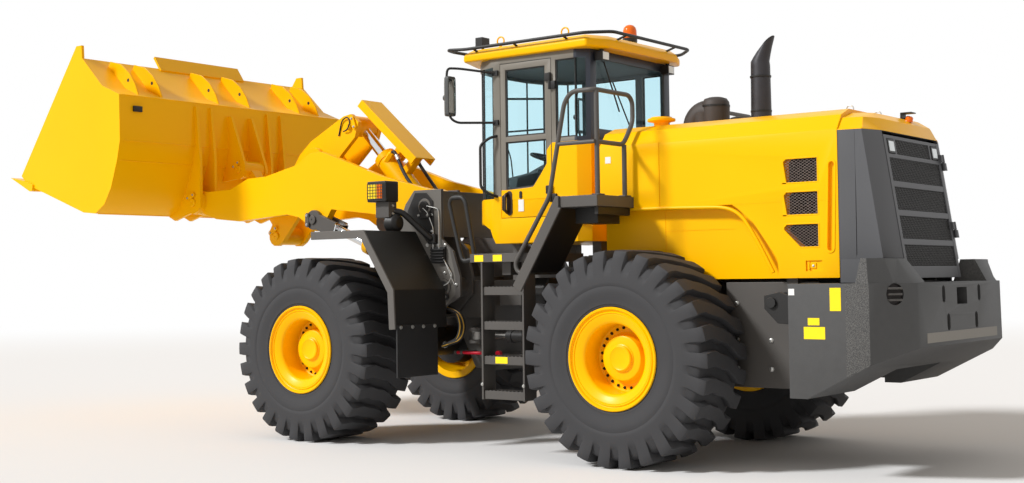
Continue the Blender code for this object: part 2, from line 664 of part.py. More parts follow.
def bucket():
    """Curved shell between side plates, lip, ribs, ears and the spill guard."""
    inside = [(5.289, 4.269), (4.907, 3.910), (4.592, 3.784), (4.575, 3.26), (4.627, 3.034),
              (4.74, 2.72), (4.86, 2.54), (5.03, 2.44), (5.25, 2.46), (6.363, 2.837)]
    shell = thickened(inside, BUCKET_SHELL_THICK)
    side_plate = inside + [(6.50, 2.95), (5.40, 4.42), (5.30, 4.42)]
    parts = [slab_y(shell, -BUCKET_HALF + 0.005, BUCKET_HALF - 0.005)]
    for side in (1, -1):
        faces = sorted((side * (BUCKET_HALF - BUCKET_SIDE_THICK), side * BUCKET_HALF))
        parts.append(slab_y(side_plate, *faces))
        for y in EAR_Y:
            faces = sorted((side * (y - BUCKET_EAR_THICK / 2), side * (y + BUCKET_EAR_THICK / 2)))
            ear = [(4.62, 3.74), (4.56, 3.74)] + [(4.49, 3.10)] + arc(BUCKET_PIN, 0.14, 170, 290, 6)
            ear += [(4.95, 2.38), (5.06, 2.43), (4.76, 2.74), (4.65, 3.04), (4.60, 3.26)]
            parts.append(slab_y(ear, *faces))
        faces = sorted((side * (LINK_EAR_Y - BUCKET_EAR_THICK / 2), side * (LINK_EAR_Y + BUCKET_EAR_THICK / 2)))
        ear = [(4.60, 3.66), (4.53, 3.66)] + arc(LINK_PIN, 0.12, 150, 290, 6) + [(4.68, 2.86), (4.64, 3.04)]
        parts.append(slab_y(ear, *faces))
    lip = [(6.25, 2.76), (6.30, 2.755), (TIP_X, 2.94), (6.36, 2.875), (6.24, 2.835)]
    parts.append(slab_y(lip, -BUCKET_HALF - 0.02, BUCKET_HALF + 0.02))
    guard = thickened([(5.27, 4.23), (5.40, 4.41)], 0.03)
    parts.append(slab_y(guard, -0.67, 0.67))
    place(fuse(parts), "bucket", "yellow_paint", (BUCKET_PIN[0], 0, BUCKET_PIN[1]))


def shifted_path(path, distance):
    """An open (x, z) path moved to its left, its corners mitred."""
    points = [Vector(p) for p in path]
    moved = []
    for i, point in enumerate(points):
        before = (point - points[i - 1]).normalized() if i else None
        after = (points[i + 1] - point).normalized() if i + 1 < len(points) else None
        tangent = ((before or after) + (after or before)).normalized()
        normal = Vector((-tangent.y, tangent.x))
        stretch = 1.0 / max(0.6, tangent.dot(after or before))
        moved.append(tuple(point + normal * distance * stretch))
    return moved


def stretched(path, extra):
    """An open (x, z) path made longer by a little at both ends."""
    points = [Vector(p) for p in path]
    first = points[0] + (points[0] - points[1]).normalized() * extra
    last = points[-1] + (points[-1] - points[-2]).normalized() * extra
    return [tuple(p) for p in [first] + points[1:-1] + [last]]


def thickened(path, thickness):
    """Close an open (x, z) path into a plate of one thickness, added on its left."""
    return list(path) + list(reversed(shifted_path(path, thickness)))


def cylinder(name, base, eye, y, radii, barrel_span, stroke_in, eye_width, end_width=None,
             plane="xz", fork=False):
    """Barrel with its base eye and neck, and the rod with its eye or fork, on one line."""
    barrel_radius, rod_radius = radii
    barrel_start, barrel_end = barrel_span

    def at(point, across=0.0):
        if plane == "xz":
            return (point[0], y + across, point[1])
        return (point[0], point[1], y + across)

    def on_line(distance):
        return at(along(base, eye, distance))

    half = eye_width / 2
    end_half = (end_width or eye_width) / 2
    eye_radius = rod_radius + 0.055
    bore_start = max(barrel_start, eye_radius) + 0.06
    barrel = [rod(on_line(barrel_start), on_line(barrel_end), barrel_radius, BARREL_SIDES),
              rod(on_line(eye_radius * 0.5), on_line(barrel_start + 0.02), min(barrel_radius, half) - 0.006, 16),
              rod(at(base, -half), at(base, half), eye_radius, 14)]
    gland = rod(on_line(barrel_end - 0.07), on_line(barrel_end + 0.002), barrel_radius + 0.008, 16)
    bore = rod(on_line(bore_start), on_line(barrel_end + 0.05), rod_radius + 0.001, 16)
    place(fuse(barrel + [gland], [bore]), name + "_barrel", "yellow_paint", at(base))
    rod_start = bore_start + stroke_in + 0.02
    full = (Vector(eye) - Vector(base)).length
    if fork:
        rod_parts = [rod(on_line(rod_start), on_line(full - 0.32), rod_radius, 16)]
        inner = ARM_THICK / 2 + RUN_GAP
        reach = inner + 0.045
        rod_parts.append(slab_y(bar_outline(base, eye, full - 0.36, full - 0.27, 0.065), y - reach, y + reach))
        for side in (1, -1):
            cheek = sorted((y + side * inner, y + side * (reach + 0.002)))
            rod_parts.append(cross_rod(eye, *cheek, 0.11, 16))
            rod_parts.append(slab_y(bar_outline(base, eye, full - 0.34, full, 0.085), *cheek))
    else:
        rod_parts = [rod(on_line(rod_start), at(eye), rod_radius, 16),
                     rod(at(eye, -end_half), at(eye, end_half), eye_radius, 14)]
    place(fuse(rod_parts), name + "_rod", "chrome", at(eye))


def bar_outline(base, eye, near, far, half):
    """Rectangle along the line base-eye between two distances from the base."""
    direction = (Vector(eye) - Vector(base)).normalized()
    normal = Vector((-direction.y, direction.x)) * half
    first, last = Vector(base) + direction * near, Vector(base) + direction * far
    return [tuple(p) for p in (first - normal, last - normal, last + normal, first + normal)]


def cylinders():
    for side, label in ((1, "left"), (-1, "right")):
        cylinder("lift_cylinder_" + label, LIFT_BASE, LIFT_EYE, side * ARM_Y,
                 (LIFT_BARREL_RADIUS, LIFT_ROD_RADIUS), (0.07, LIFT_BARREL_LENGTH), LIFT_STROKE_IN,
                 TOWER_GAP - 2 * FACE_GAP, fork=True)
        base = (STEER_BASE[0], side * STEER_BASE[1])
        eye = (STEER_EYE[0], side * STEER_EYE[1])
        cylinder("steer_cylinder_" + label, base, eye, STEER_Z,
                 (STEER_BARREL_RADIUS, STEER_ROD_RADIUS), (0.18, STEER_BARREL_LENGTH), STEER_STROKE_IN,
                 EYE_STEER, plane="xy")
    cylinder("tilt_cylinder", TILT_BASE, BELL_TOP, 0.0, (TILT_BARREL_RADIUS, TILT_ROD_RADIUS),
             (0.18, TILT_BARREL_LENGTH), TILT_STROKE_IN, EYE_WIDTH,
             2 * (BELL_PLATE_Y - BELL_PLATE_THICK / 2 - FACE_GAP))


def tilt_guard():
    """Sheet channel over the tilt cylinder, carried by two posts on the barrel."""
    direction = (Vector(BELL_TOP) - Vector(TILT_BASE)).normalized()
    normal = Vector((-direction.y, direction.x))

    def at(distance, height):
        return tuple(Vector(TILT_BASE) + direction * distance + normal * height)

    low = TILT_BARREL_RADIUS + 0.09
    # y and height of the channel section
    section = [(-0.21, -0.035), (-0.21, SHEET), (0.21, SHEET), (0.21, -0.035), (0.19, -0.035),
               (0.19, 0.0), (-0.19, 0.0), (-0.19, -0.035)]
    rings = []
    for distance in (0.62, 2.02):
        ring = []
        for y, height in section:
            x, z = at(distance, low + height)
            ring.append((x, y, z))
        rings.append(ring)
    parts = [ring_solid(rings)]
    flat = TILT_BARREL_RADIUS * math.cos(math.pi / BARREL_SIDES) + SEAT_GAP
    for distance in (0.80, 1.30):
        post = [at(distance, flat), at(distance + 0.10, flat),
                at(distance + 0.10, low + 0.01), at(distance, low + 0.01)]
        parts.append(slab_y(post, -0.05, 0.05))
    place(fuse(parts), "tilt_cylinder_guard", "yellow_paint", (TILT_BASE[0], 0, TILT_BASE[1]))


def front_fender():
    """Bent sheet over the front tyre with a turned-down outer lip and a rubber flap."""
    path = [(1.72, 2.13), (0.99, 2.13), (0.60, 1.54), (0.58, 1.16)]
    lip = thickened(stretched(shifted_path(path, -LIP_STANDS), LIP_STANDS), FENDER_LIP)
    flap = block((0.575, 0.592), (0.95, 1.55), (0.69, 1.20))
    parts = [slab_y(thickened(path, SHEET), FENDER_IN, FENDER_OUT - SHEET / 2),
             slab_y(lip, FENDER_OUT - SHEET, FENDER_OUT), flap]
    both_sides(fuse(parts), "front_fender", "grey_paint")


def platform():
    """Platform over the rear tyre, its sloping front sheet and the bent tube rail."""
    (rear_x, front_x) = PLATFORM_X
    fall = (-0.81 - front_x, 1.57 - PLATFORM_Z)       # run and drop of the slope
    share = (PLATFORM_Z - SLOPE_FOOT_Z) / (PLATFORM_Z - 1.57)
    path = [(front_x - 0.03, PLATFORM_Z + 0.002), (front_x, PLATFORM_Z + 0.002),
            (front_x + fall[0] * share, SLOPE_FOOT_Z)]
    edge = [(front_x - 0.03, PLATFORM_Z + 0.004), (front_x + 0.002, PLATFORM_Z + 0.004), (-0.808, 1.57)]
    parts = [block((rear_x, front_x - 0.004), (HOOD_HALF + SEAT_GAP, 1.50), (PLATFORM_Z - 0.10, PLATFORM_Z)),
             slab_y(thickened(path, -0.025), 0.925, 1.51),
             slab_y(thickened(edge, -FENDER_LIP), 1.497, 1.521)]
    both_sides(fuse(parts + handrail()), "platform", "grey_paint")


def deck_and_ladder():
    """Entry deck under the cab door, the hanging ladder and its grab rail."""
    deck = block(DECK_X, (0.54, DECK_OUT), (DECK_TOP_Z - DECK_THICK, DECK_TOP_Z))
    x0, x1 = LADDER_X
    parts = [deck]
    for x in (x0, x1 - 0.012):
        parts.append(block((x, x + 0.012), (DECK_OUT - 0.19, DECK_OUT - 0.01),
                           (LADDER_FOOT_Z, DECK_TOP_Z - 0.01)))
    for i in range(STEP_COUNT):
        top = LADDER_FOOT_Z + 0.08 + 0.32 * i
        parts.append(block((x0 + 0.001, x1 - 0.001), (DECK_OUT - 0.185, DECK_OUT - 0.015), (top - 0.075, top)))
    rail = [(-0.24 + 0.02, 1.40, 1.83), (-0.13, 1.40, 1.80), (-0.08, 1.40, 1.95), (0.03, 1.40, 2.36),
            (0.0, 1.40, 2.41), (-0.13, 1.40, 2.41), (-0.17, 1.40, 2.36), (-0.27, 1.40, 1.85)]
    rail[0] = (-0.30, 1.40, 1.83)
    parts.append(pipe(rail, RAIL_RADIUS))
    both_sides(fuse(parts), "deck_ladder", "grey_paint")


def handrail():
    """Bent tube guard round the platform, its posts and the long grab rail."""
    top, mid = 3.29, 2.83
    x_corner, y_out, y_in = -1.69, RAIL_OUT, 0.99
    foot = PLATFORM_Z - 0.03
    main = [(-0.90, y_out, 1.675), (-0.82, y_out, 1.70), (-0.80, y_out, 1.78), (-1.19, y_out, 2.36),
            (-1.29, y_out, mid), (-1.37, y_out, top - 0.09), (-1.45, y_out, top),
            (x_corner, y_out, top), (x_corner, y_in - 0.09, top), (x_corner, y_in - 0.15, top - 0.06),
            (x_corner, y_in - 0.15, mid + 0.22), (x_corner, y_in - 0.05, mid + 0.08),
            (x_corner, y_in + 0.02, mid), (x_corner, y_out - 0.03, mid)]
    return [pipe(main, RAIL_RADIUS),
            pipe([(-1.295, y_out, mid), (x_corner, y_out, mid)], RAIL_RADIUS * 0.9),
            pipe([(x_corner, y_out - 0.035, foot), (x_corner, y_out - 0.035, top)], RAIL_RADIUS * 1.1),
            pipe([(x_corner, y_in, foot), (x_corner, y_in, mid)], RAIL_RADIUS * 1.1)]


def hood():
    """Hollow hood with shoulders, the arch recess over the tyre and the side vents."""
    section = [(HOOD_HALF, CREASE_Z), (HOOD_HALF, HOOD_SHOULDER_Z), (0.80, 2.96), (0.64, HOOD_TOP_Z),
               (-0.64, HOOD_TOP_Z), (-0.80, 2.96), (-HOOD_HALF, HOOD_SHOULDER_Z), (-HOOD_HALF, CREASE_Z)]
    upper = slab_x(section, HOOD_REAR_X, HOOD_FRONT_X)
    lower = block((HOOD_REAR_X + 0.002, HOOD_FRONT_X - 0.002), (-HOOD_LOWER_HALF, HOOD_LOWER_HALF),
                  (HOOD_LOW_Z, CREASE_Z + 0.05))
    arch = [(-2.66, CREASE_Z + 0.04), (-2.78, CREASE_Z - 0.04), (-2.92, 2.09), (-3.14, 1.78),
            (-3.16, HOOD_LOW_Z + 0.001), (HOOD_REAR_X + 0.001, HOOD_LOW_Z + 0.001), (HOOD_REAR_X + 0.001, 2.5)]
    rear = slab_y(arch, -HOOD_HALF + 0.001, HOOD_HALF - 0.001)
    hollow_section = [(HOOD_INNER_HALF, 1.5), (HOOD_INNER_HALF, 2.84), (0.60, 2.97),
                      (-0.60, 2.97), (-HOOD_INNER_HALF, 2.84), (-HOOD_INNER_HALF, 1.5)]
    hollow = slab_x(hollow_section, HOOD_REAR_X - 0.1, HOOD_FRONT_X - 0.04)
    cutters = [hollow]
    # low and high edge of each vent
    for low, high, cut in [(2.40, 2.62, 0.0), (2.13, 2.34, 0.0), (1.86, 2.07, 0.15)]:
        vent = [(-3.53, low), (-3.20 - cut, low), (-3.20, low + cut), (-3.20, high - 0.03),
                (-3.23, high), (-3.53, high)]
        cutters.append(slab_y(vent, -1.0, 1.0))
    place(fuse([upper, lower, rear], cutters), "hood", "yellow_paint")


def tail():
    """Grey corner panels with the hood's rear cap, and the hinged grille."""
    lean = (GRILLE_FOOT[0] - GRILLE_TOP[0]) / (GRILLE_FOOT[1] - GRILLE_TOP[1])

    def shifted(outline, z):
        return [(x + lean * (z - GRILLE_TOP[1]) * share, y, z) for x, y, share in outline]

    front_x = HOOD_REAR_X - SEAT_GAP
    panel = [(front_x, HOOD_HALF - 0.005, 0), (-3.90, 0.86, 1), (-3.975, GRILLE_HALF + RUN_GAP, 1),
             (-3.94, GRILLE_HALF + RUN_GAP, 1), (-3.88, 0.82, 1), (front_x, HOOD_HALF - 0.045, 0)]
    panels = ring_solid([shifted(panel, HORN_TOP_Z + RUN_GAP), shifted(panel, 2.83)])
    twin = mirrored(panels)
    cap_low = [(front_x, HOOD_HALF - 0.01), (-3.90, 0.85), (-3.975, 0.60)]
    cap_mid = [(front_x, 0.80), (-3.87, 0.76), (-3.93, 0.56)]
    cap_top = [(front_x, 0.63), (-3.80, 0.58), (-3.86, 0.48)]
    rings = []
    for outline, z in ((cap_low, 2.82), (cap_mid, 2.93), (cap_top, 2.985)):
        rings.append([(x, y, z) for x, y in mirrored_outline(outline)])
    cap = ring_solid(rings)
    top_z, foot_z = GRILLE_TOP[1] - 0.01, GRILLE_FOOT[1]

    def hinge(low, high):
        """A knuckle on the leaning hinge line, between two heights."""
        ends = [(GRILLE_TOP[0] + lean * (z - GRILLE_TOP[1]) - HINGE_OUT, -HINGE_LINE_Y, z) for z in (low, high)]
        return rod(ends[0], ends[1], HINGE_PIN, 10)

    def leaf(low, high, y_span):
        """The flat tail of a knuckle."""
        rows = []
        for z in (low, high):
            x = GRILLE_TOP[0] + lean * (z - GRILLE_TOP[1])
            rows.append([(x - HINGE_OUT - 0.006, y_span[0], z), (x - HINGE_OUT - 0.006, y_span[1], z),
                         (x + 0.02, y_span[1], z), (x + 0.02, y_span[0], z)])
        return ring_solid(rows)

    fixed, moving = [], []
    for low in (1.95, 2.55):
        fixed += [hinge(low, low + 0.07), leaf(low + 0.001, low + 0.069, (-HINGE_LINE_Y - 0.05, -HINGE_LINE_Y - 0.01))]
        start = low + 0.07 + FACE_GAP
        moving += [hinge(start, start + 0.07), leaf(start + 0.001, start + 0.069, (-HINGE_LINE_Y + 0.01, -HINGE_LINE_Y + 0.05))]
    place(fuse([cap, panels, twin] + fixed), "hood_tail", "grey_paint")

    def sheet(y_span, z_span, depth, back=0.0):
        rows = []
        for z in z_span:
            x = GRILLE_TOP[0] + lean * (z - GRILLE_TOP[1]) + back
            rows.append([(x, y_span[0], z), (x, y_span[1], z), (x + depth, y_span[1], z), (x + depth, y_span[0], z)])
        return ring_solid(rows)

    edge = 0.05
    parts = [sheet((-GRILLE_HALF, -GRILLE_HALF + edge), (foot_z, top_z), 0.05),
             sheet((GRILLE_HALF - edge, GRILLE_HALF), (foot_z, top_z), 0.05)]
    span = (-GRILLE_HALF + 0.01, GRILLE_HALF - 0.01)
    for low, high in ((foot_z, foot_z + 0.06), (2.02, 2.06), (2.26, 2.30), (2.50, 2.54), (top_z - 0.09, top_z)):
        parts.append(sheet(span, (low, high), 0.045, 0.002))
    for i in range(1, 6):
        y = -GRILLE_HALF + edge + (2 * GRILLE_HALF - 2 * edge) * i / 6
        parts.append(sheet((y - 0.006, y + 0.006), (foot_z + 0.03, top_z - 0.03), 0.02, 0.012))
    place(fuse(parts + moving), "grille_door", "grey_paint",
          (GRILLE_FOOT[0] - HINGE_OUT, -HINGE_LINE_Y, GRILLE_FOOT[1]))


def counterweight():
    """Cast block across the tail with raised horns, sloped foot and recesses."""

    def section(y, rear, inset):
        low = CW_LOW_Z + (CW_FRONT_X - 0.15 - rear) * 0.52
        return [(CW_FRONT_X, y, CW_LOW_Z), (CW_FRONT_X - 0.15, y, CW_LOW_Z), (rear, y, low),
                (rear + inset, y, CW_TOP_Z), (CW_FRONT_X, y, CW_TOP_Z)]

    corner = -4.16
    body = ring_solid([section(-CW_HALF, corner, 0.0), section(-CW_REAR_HALF, CW_REAR_X, 0.01),
                       section(CW_REAR_HALF, CW_REAR_X, 0.01), section(CW_HALF, corner, 0.0)])
    horns = []
    for side in (1, -1):
        low = [(-3.93, side * CW_HALF), (-4.155, side * (CW_HALF - 0.002)), (-4.275, side * 1.19), (-4.36, side * 0.99),
               (-4.36, side * 0.72), (-3.95, side * 0.72)]
        high = [(-4.02, side * (CW_HALF - 0.01)), (-4.14, side * (CW_HALF - 0.012)), (-4.20, side * 1.19), (-4.22, side * 0.98),
                (-4.22, side * 0.80), (-4.02, side * 0.80)]
        horns.append(ring_solid([[(x, y, CW_TOP_Z - 0.02) for x, y in low], [(x, y, HORN_TOP_Z) for x, y in high]]))
    cutters = [block((RAIL_REAR_X - SEAT_GAP, CW_FRONT_X + 0.2), (-0.50, 0.50), (0.5, 2.0))]
    # y, z of the hand slots and the tow pin opening in the rear face
    for y, z in ((0.42, 1.47), (-0.42, 1.47), (0.33, 1.24), (-0.33, 1.24)):
        cutters.append(block((CW_REAR_X - 0.1, CW_REAR_X + 0.10), (y - 0.03, y + 0.03), (z - 0.06, z + 0.06)))
    cutters.append(block((CW_REAR_X - 0.1, CW_REAR_X + 0.16), (-0.08, 0.08), (1.38, 1.52)))
    place(fuse([body] + horns, cutters), "counterweight", "counterweight_iron")


def engine():
    """The engine as one plain block in the hood, and the radiator behind the grille."""
    frame_inside = RAIL_Y - RAIL_THICK / 2 - SEAT_GAP
    block_low = block((-3.15, -1.70), (-frame_inside, frame_inside), (1.30, 1.9))
    block_high = block((-3.05, -1.85), (-0.415, 0.415), (1.80, 2.35))
    place(fuse([block_low, block_high]), "engine", "black_paint")
    radiator = block((-3.86, -3.62), (-0.62, 0.62), (1.60 + SEAT_GAP, 2.72))
    place(radiator, "radiator", "black_paint")


def cab_plan(inset):
    return mirrored_outline([(CAB_FRONT_X - inset, 0.30), (0.32 - inset, 0.54 - inset * 0.6),
                             (0.14 - inset * 0.7, 0.74 - inset * 0.8),
                             (-0.02 - inset * 0.2, CAB_HALF - inset), (-1.04 + inset * 0.3, CAB_HALF - inset),
                             (CAB_REAR_X + inset, 0.72 - inset)])


def cab():
    """Hollow cab shell with its pillars, windows and door opening."""
    outer = slab_z(cab_plan(0.0), CAB_FLOOR_Z, CAB_TOP_Z)
    inner = slab_z(cab_plan(CAB_WALL), CAB_FLOOR_Z + 0.06, CAB_TOP_Z - 0.05)
    toe = slab_y([(0.60, 1.9), (0.60, 2.18), (0.15, 2.18), (0.02, 2.12), (-0.10, 1.9)], -1, 1)
    toe_floor = slab_y([(0.25, 2.19), (0.12, 2.19), (-0.02, 2.14), (-0.12, 2.02), (-0.10, 2.08),
                        (0.0, 2.20), (0.12, 2.26), (0.36, 2.26), (0.36, 2.19)], -0.73, 0.73)
    door_low, door_high = DOOR_Z
    opening = block((DOOR_X[0] - RUN_GAP, DOOR_X[1] + RUN_GAP), (CAB_HALF - 0.12, CAB_HALF + 0.1),
                    (door_low - RUN_GAP, door_high + RUN_GAP))
    windows = [
        block((-1.03, -0.80), (0.6, 0.9), (2.97, 3.72)),
        block((-1.03, -0.80), (-0.9, -0.6), (2.97, 3.72)),
        block((-0.72, -0.12), (-0.9, -0.6), (SILL_Z, 3.72)),
        block((CAB_REAR_X - 0.1, CAB_REAR_X + 0.1), (-0.62, 0.62), (3.05, 3.72)),
        block((0.34, 0.5), (-0.28, 0.28), (2.55, 3.72)),
    ]
    for side in (1, -1):
        windows.append(slab_z([(0.40, side * 0.32), (0.345, side * 0.52), (0.25, side * 0.47), (0.26, side * 0.30)],
                              2.55, 3.72))
        windows.append(slab_z([(0.31, side * 0.58), (0.17, side * 0.74), (0.05, side * 0.66), (0.20, side * 0.52)],
                              2.80, 3.72))
    shell = fuse([outer], [inner, toe])
    shell = fuse([shell, toe_floor], [opening] + windows)
    hinges = []
    for low in DOOR_HINGE_Z:
        pin = (DOOR_X[0], CAB_HALF + HINGE_OUT)
        hinges += [rod((*pin, low), (*pin, low + 0.08), HINGE_PIN, 10),
                   block((pin[0] - 0.06, pin[0] - 0.008), (CAB_HALF - 0.01, pin[1]), (low + 0.001, low + 0.079))]
    place(fuse([shell] + hinges), "cab_body", "yellow_paint")


def cab_door():
    """Framed door: the upper light, and the lower light with its cut corner."""
    x0, x1 = DOOR_X
    z0, z1 = DOOR_Z
    leaf = block((x0, x1), (CAB_HALF - 0.045, CAB_HALF), (z0, z1))
    upper = block((x0 + 0.07, x1 - 0.06), (CAB_HALF - 0.1, CAB_HALF + 0.1), (3.02, z1 - 0.06))
    lower = slab_y([(x0 + 0.06, 2.97), (x1 - 0.06, 2.97), (x1 - 0.06, 2.50), (x0 + 0.22, 2.52), (x0 + 0.06, 2.72)],
                   CAB_HALF - 0.1, CAB_HALF + 0.1)
    handle = pipe([(x1 - 0.06, CAB_HALF - 0.01, 2.28), (x1 - 0.06, CAB_HALF + 0.05, 2.31),
                   (x1 - 0.06, CAB_HALF + 0.05, 2.43), (x1 - 0.06, CAB_HALF - 0.01, 2.46)], 0.014)
    knuckles = []
    for low in DOOR_HINGE_Z:
        start = low + 0.08 + FACE_GAP
        knuckles += [rod((x0, CAB_HALF + HINGE_OUT, start), (x0, CAB_HALF + HINGE_OUT, start + 0.08), HINGE_PIN, 10),
                     block((x0 + 0.004, x0 + 0.06), (CAB_HALF - 0.01, CAB_HALF + HINGE_OUT), (start + 0.001, start + 0.079))]
    place(fuse([leaf, handle] + knuckles, [upper, lower]), "cab_door", "yellow_paint",
          (x0, CAB_HALF + HINGE_OUT, z0))


def cab_roof():
    """Overhanging roof panel with bevelled edges."""
    low = CAB_TOP_Z + SEAT_GAP
    rim_plan = mirrored_outline([(0.46, 0.42), (0.30, 0.84), (-1.20, 0.86), (-1.32, 0.60)])
    top_plan = mirrored_outline([(0.38, 0.38), (0.24, 0.76), (-1.14, 0.78), (-1.25, 0.55)])
    rings = [[(x, y, low) for x, y in rim_plan], [(x, y, low + ROOF_THICK * 0.6) for x, y in rim_plan],
             [(x, y, low + ROOF_THICK) for x, y in top_plan]]
    place(ring_solid(rings), "cab_roof", "yellow_paint")


def cab_inside():
    """Seat on its base, and the steering column with console and wheel."""
    floor = CAB_FLOOR_Z + 0.06 + SEAT_GAP
    base = block((-0.75, -0.35), (-0.20, 0.20), (floor, floor + 0.34))
    cushion = block((-0.82, -0.28), (-0.26, 0.26), (floor + 0.33, floor + 0.47))
    back = slab_y([(-0.80, floor + 0.45), (-0.68, floor + 0.45), (-0.80, floor + 1.10), (-0.90, floor + 1.10)],
                  -0.24, 0.24)
    place(fuse([base, cushion, back]), "seat", "cloth")
    column = slab_y([(-0.25, floor), (-0.13, floor), (-0.03, floor + 0.72), (-0.15, floor + 0.70)], -0.08, 0.08)
    column_foot = (-0.07, 0, floor + 0.66)
    wheel_centre = (-0.12, 0, floor + 0.80)
    hub = rod(column_foot, wheel_centre, 0.03, 12)
    disc = turned([(0, 0.19), (0.025, 0.19)], wheel_centre, (-0.135, 0, floor + 0.84), 20)
    parts = [column, hub, disc]
    place(fuse(parts), "steering_column", "black_paint")


def stack_and_dome():
    """Exhaust stack, air intake dome and the filler neck on the hood."""
    seat = HOOD_TOP_Z + SEAT_GAP
    stack = turned([(0, 0.13), (0.03, 0.13), (0.035, 0.095), (0.58, 0.09), (0.60, 0.065), (0.74, 0.065)],
                   (-2.56, 0, seat), (-2.56, 0, seat + 1), 20)
    tail_pipe = pipe([(-2.56, 0, seat + 0.70), (-2.57, 0, seat + 0.76), (-2.64, 0, seat + 0.86)], 0.062, 12)
    place(fuse([stack, tail_pipe]), "exhaust_stack", "black_paint", (-2.56, 0, seat), smooth=True)
    dome = turned([(0, 0.13), (0.05, 0.13), (0.07, 0.24), (0.16, 0.245), (0.24, 0.19), (0.29, 0.10), (0.30, 0.03)],
                  (-1.975, 0, seat), (-1.975, 0, seat + 1), 24)
    place(dome, "air_precleaner", "black_paint", (-1.975, 0, seat), smooth=True)
    neck = turned([(0, 0.07), (0.05, 0.07), (0.06, 0.13), (0.085, 0.13), (0.10, 0.10)],
                  (-1.76, 0.45, seat), (-1.76, 0.45, seat + 1), 20)
    place(neck, "filler_cap", "yellow_paint", (-1.76, 0.45, seat), smooth=True)
    base = CAB_TOP_Z + SEAT_GAP + ROOF_THICK + SEAT_GAP
    lamp = turned([(0, 0.03), (0.08, 0.03), (0.085, 0.075), (0.13, 0.075), (0.135, 0.06), (0.22, 0.055), (0.26, 0.02)],
                  (-0.95, -0.30, base), (-0.95, -0.30, base + 1), 16)
    place(lamp, "beacon", "amber", (-0.95, -0.30, base), smooth=True)


def mirrors():
    """Side mirrors on bent tube arms from feet on the cab's front corners."""
    rear, front = Vector(CAB_CORNER_REAR), Vector(CAB_CORNER_FRONT)
    span = front - rear
    normal = Vector((-span.y, span.x)).normalized()
    near, far = normal * SEAT_GAP, normal * 0.022
    foot = [tuple(rear + span * share + lift) for share, lift in
            ((0.03, near), (0.23, near), (0.23, far), (0.03, far))]
    start = rear + span * 0.13 + normal * 0.012
    parts = [pipe([(start.x, start.y, 3.66), (0.20, 1.02, 3.70), (0.26, 1.10, 3.70), (0.28, 1.12, 3.64),
                   (0.25, 1.12, 3.22), (0.20, 1.06, 3.17), (start.x, start.y, 3.17)], 0.012),
             block((0.21, 0.29), (1.05, 1.19), (3.24, 3.58))]
    parts += [slab_z(foot, z - 0.025, z + 0.025) for z in (3.66, 3.17)]
    both_sides(fuse(parts), "mirror", "black_paint")


def headlamps():
    """Front lamps in boxes on an arm over the fender."""
    box = block((1.02, 1.30), (1.02, 1.22), (2.42, 2.62))
    post = block((1.12, 1.20), (1.08, 1.16), (2.13 + SEAT_GAP, 2.43))
    both_sides(fuse([box, post]), "headlamp", "black_paint")


def root_empty():
    empty = bpy.data.objects.new("machine", None)
    bpy.context.scene.collection.objects.link(empty)
    empty.location = (-MID_X, 0, 0)
    return empty


clear_scene()
ROOT = root_empty()
wheels()
axle("front_axle", FRONT_X)
axle("rear_axle", REAR_X)
rear_frame()
front_frame()
boom()
bellcrank()
bucket_link()
bucket()
cylinders()
tilt_guard()
front_fender()
platform()
deck_and_ladder()
hood()
tail()
counterweight()
engine()
cab()
cab_door()
cab_roof()
cab_inside()
stack_and_dome()
mirrors()
headlamps()
bpy.context.view_layer.update()
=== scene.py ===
import json
import math

import bmesh
import bpy
from mathutils import Matrix, Vector


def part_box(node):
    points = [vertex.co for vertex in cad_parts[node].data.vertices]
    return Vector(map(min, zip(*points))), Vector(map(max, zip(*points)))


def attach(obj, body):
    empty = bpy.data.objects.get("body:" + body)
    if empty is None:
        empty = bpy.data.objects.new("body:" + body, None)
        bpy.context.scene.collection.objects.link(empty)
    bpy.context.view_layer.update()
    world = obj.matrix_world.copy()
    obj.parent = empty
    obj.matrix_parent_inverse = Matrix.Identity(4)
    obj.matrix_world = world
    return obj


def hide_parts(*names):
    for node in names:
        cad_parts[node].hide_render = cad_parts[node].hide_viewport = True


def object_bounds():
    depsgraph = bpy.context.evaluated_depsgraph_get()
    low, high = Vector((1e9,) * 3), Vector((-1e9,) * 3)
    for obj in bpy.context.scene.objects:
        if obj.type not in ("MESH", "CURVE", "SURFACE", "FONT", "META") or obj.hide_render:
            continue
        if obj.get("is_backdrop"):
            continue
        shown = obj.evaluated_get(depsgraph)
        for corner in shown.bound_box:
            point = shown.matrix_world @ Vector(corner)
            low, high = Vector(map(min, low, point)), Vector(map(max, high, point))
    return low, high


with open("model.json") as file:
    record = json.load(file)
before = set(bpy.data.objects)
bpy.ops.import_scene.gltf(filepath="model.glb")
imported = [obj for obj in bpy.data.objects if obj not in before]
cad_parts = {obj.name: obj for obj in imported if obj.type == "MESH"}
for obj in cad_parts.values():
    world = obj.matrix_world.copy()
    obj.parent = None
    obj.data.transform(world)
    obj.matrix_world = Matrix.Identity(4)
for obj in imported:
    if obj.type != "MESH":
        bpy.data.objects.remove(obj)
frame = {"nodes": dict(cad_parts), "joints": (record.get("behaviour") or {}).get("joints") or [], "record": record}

cad_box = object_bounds()

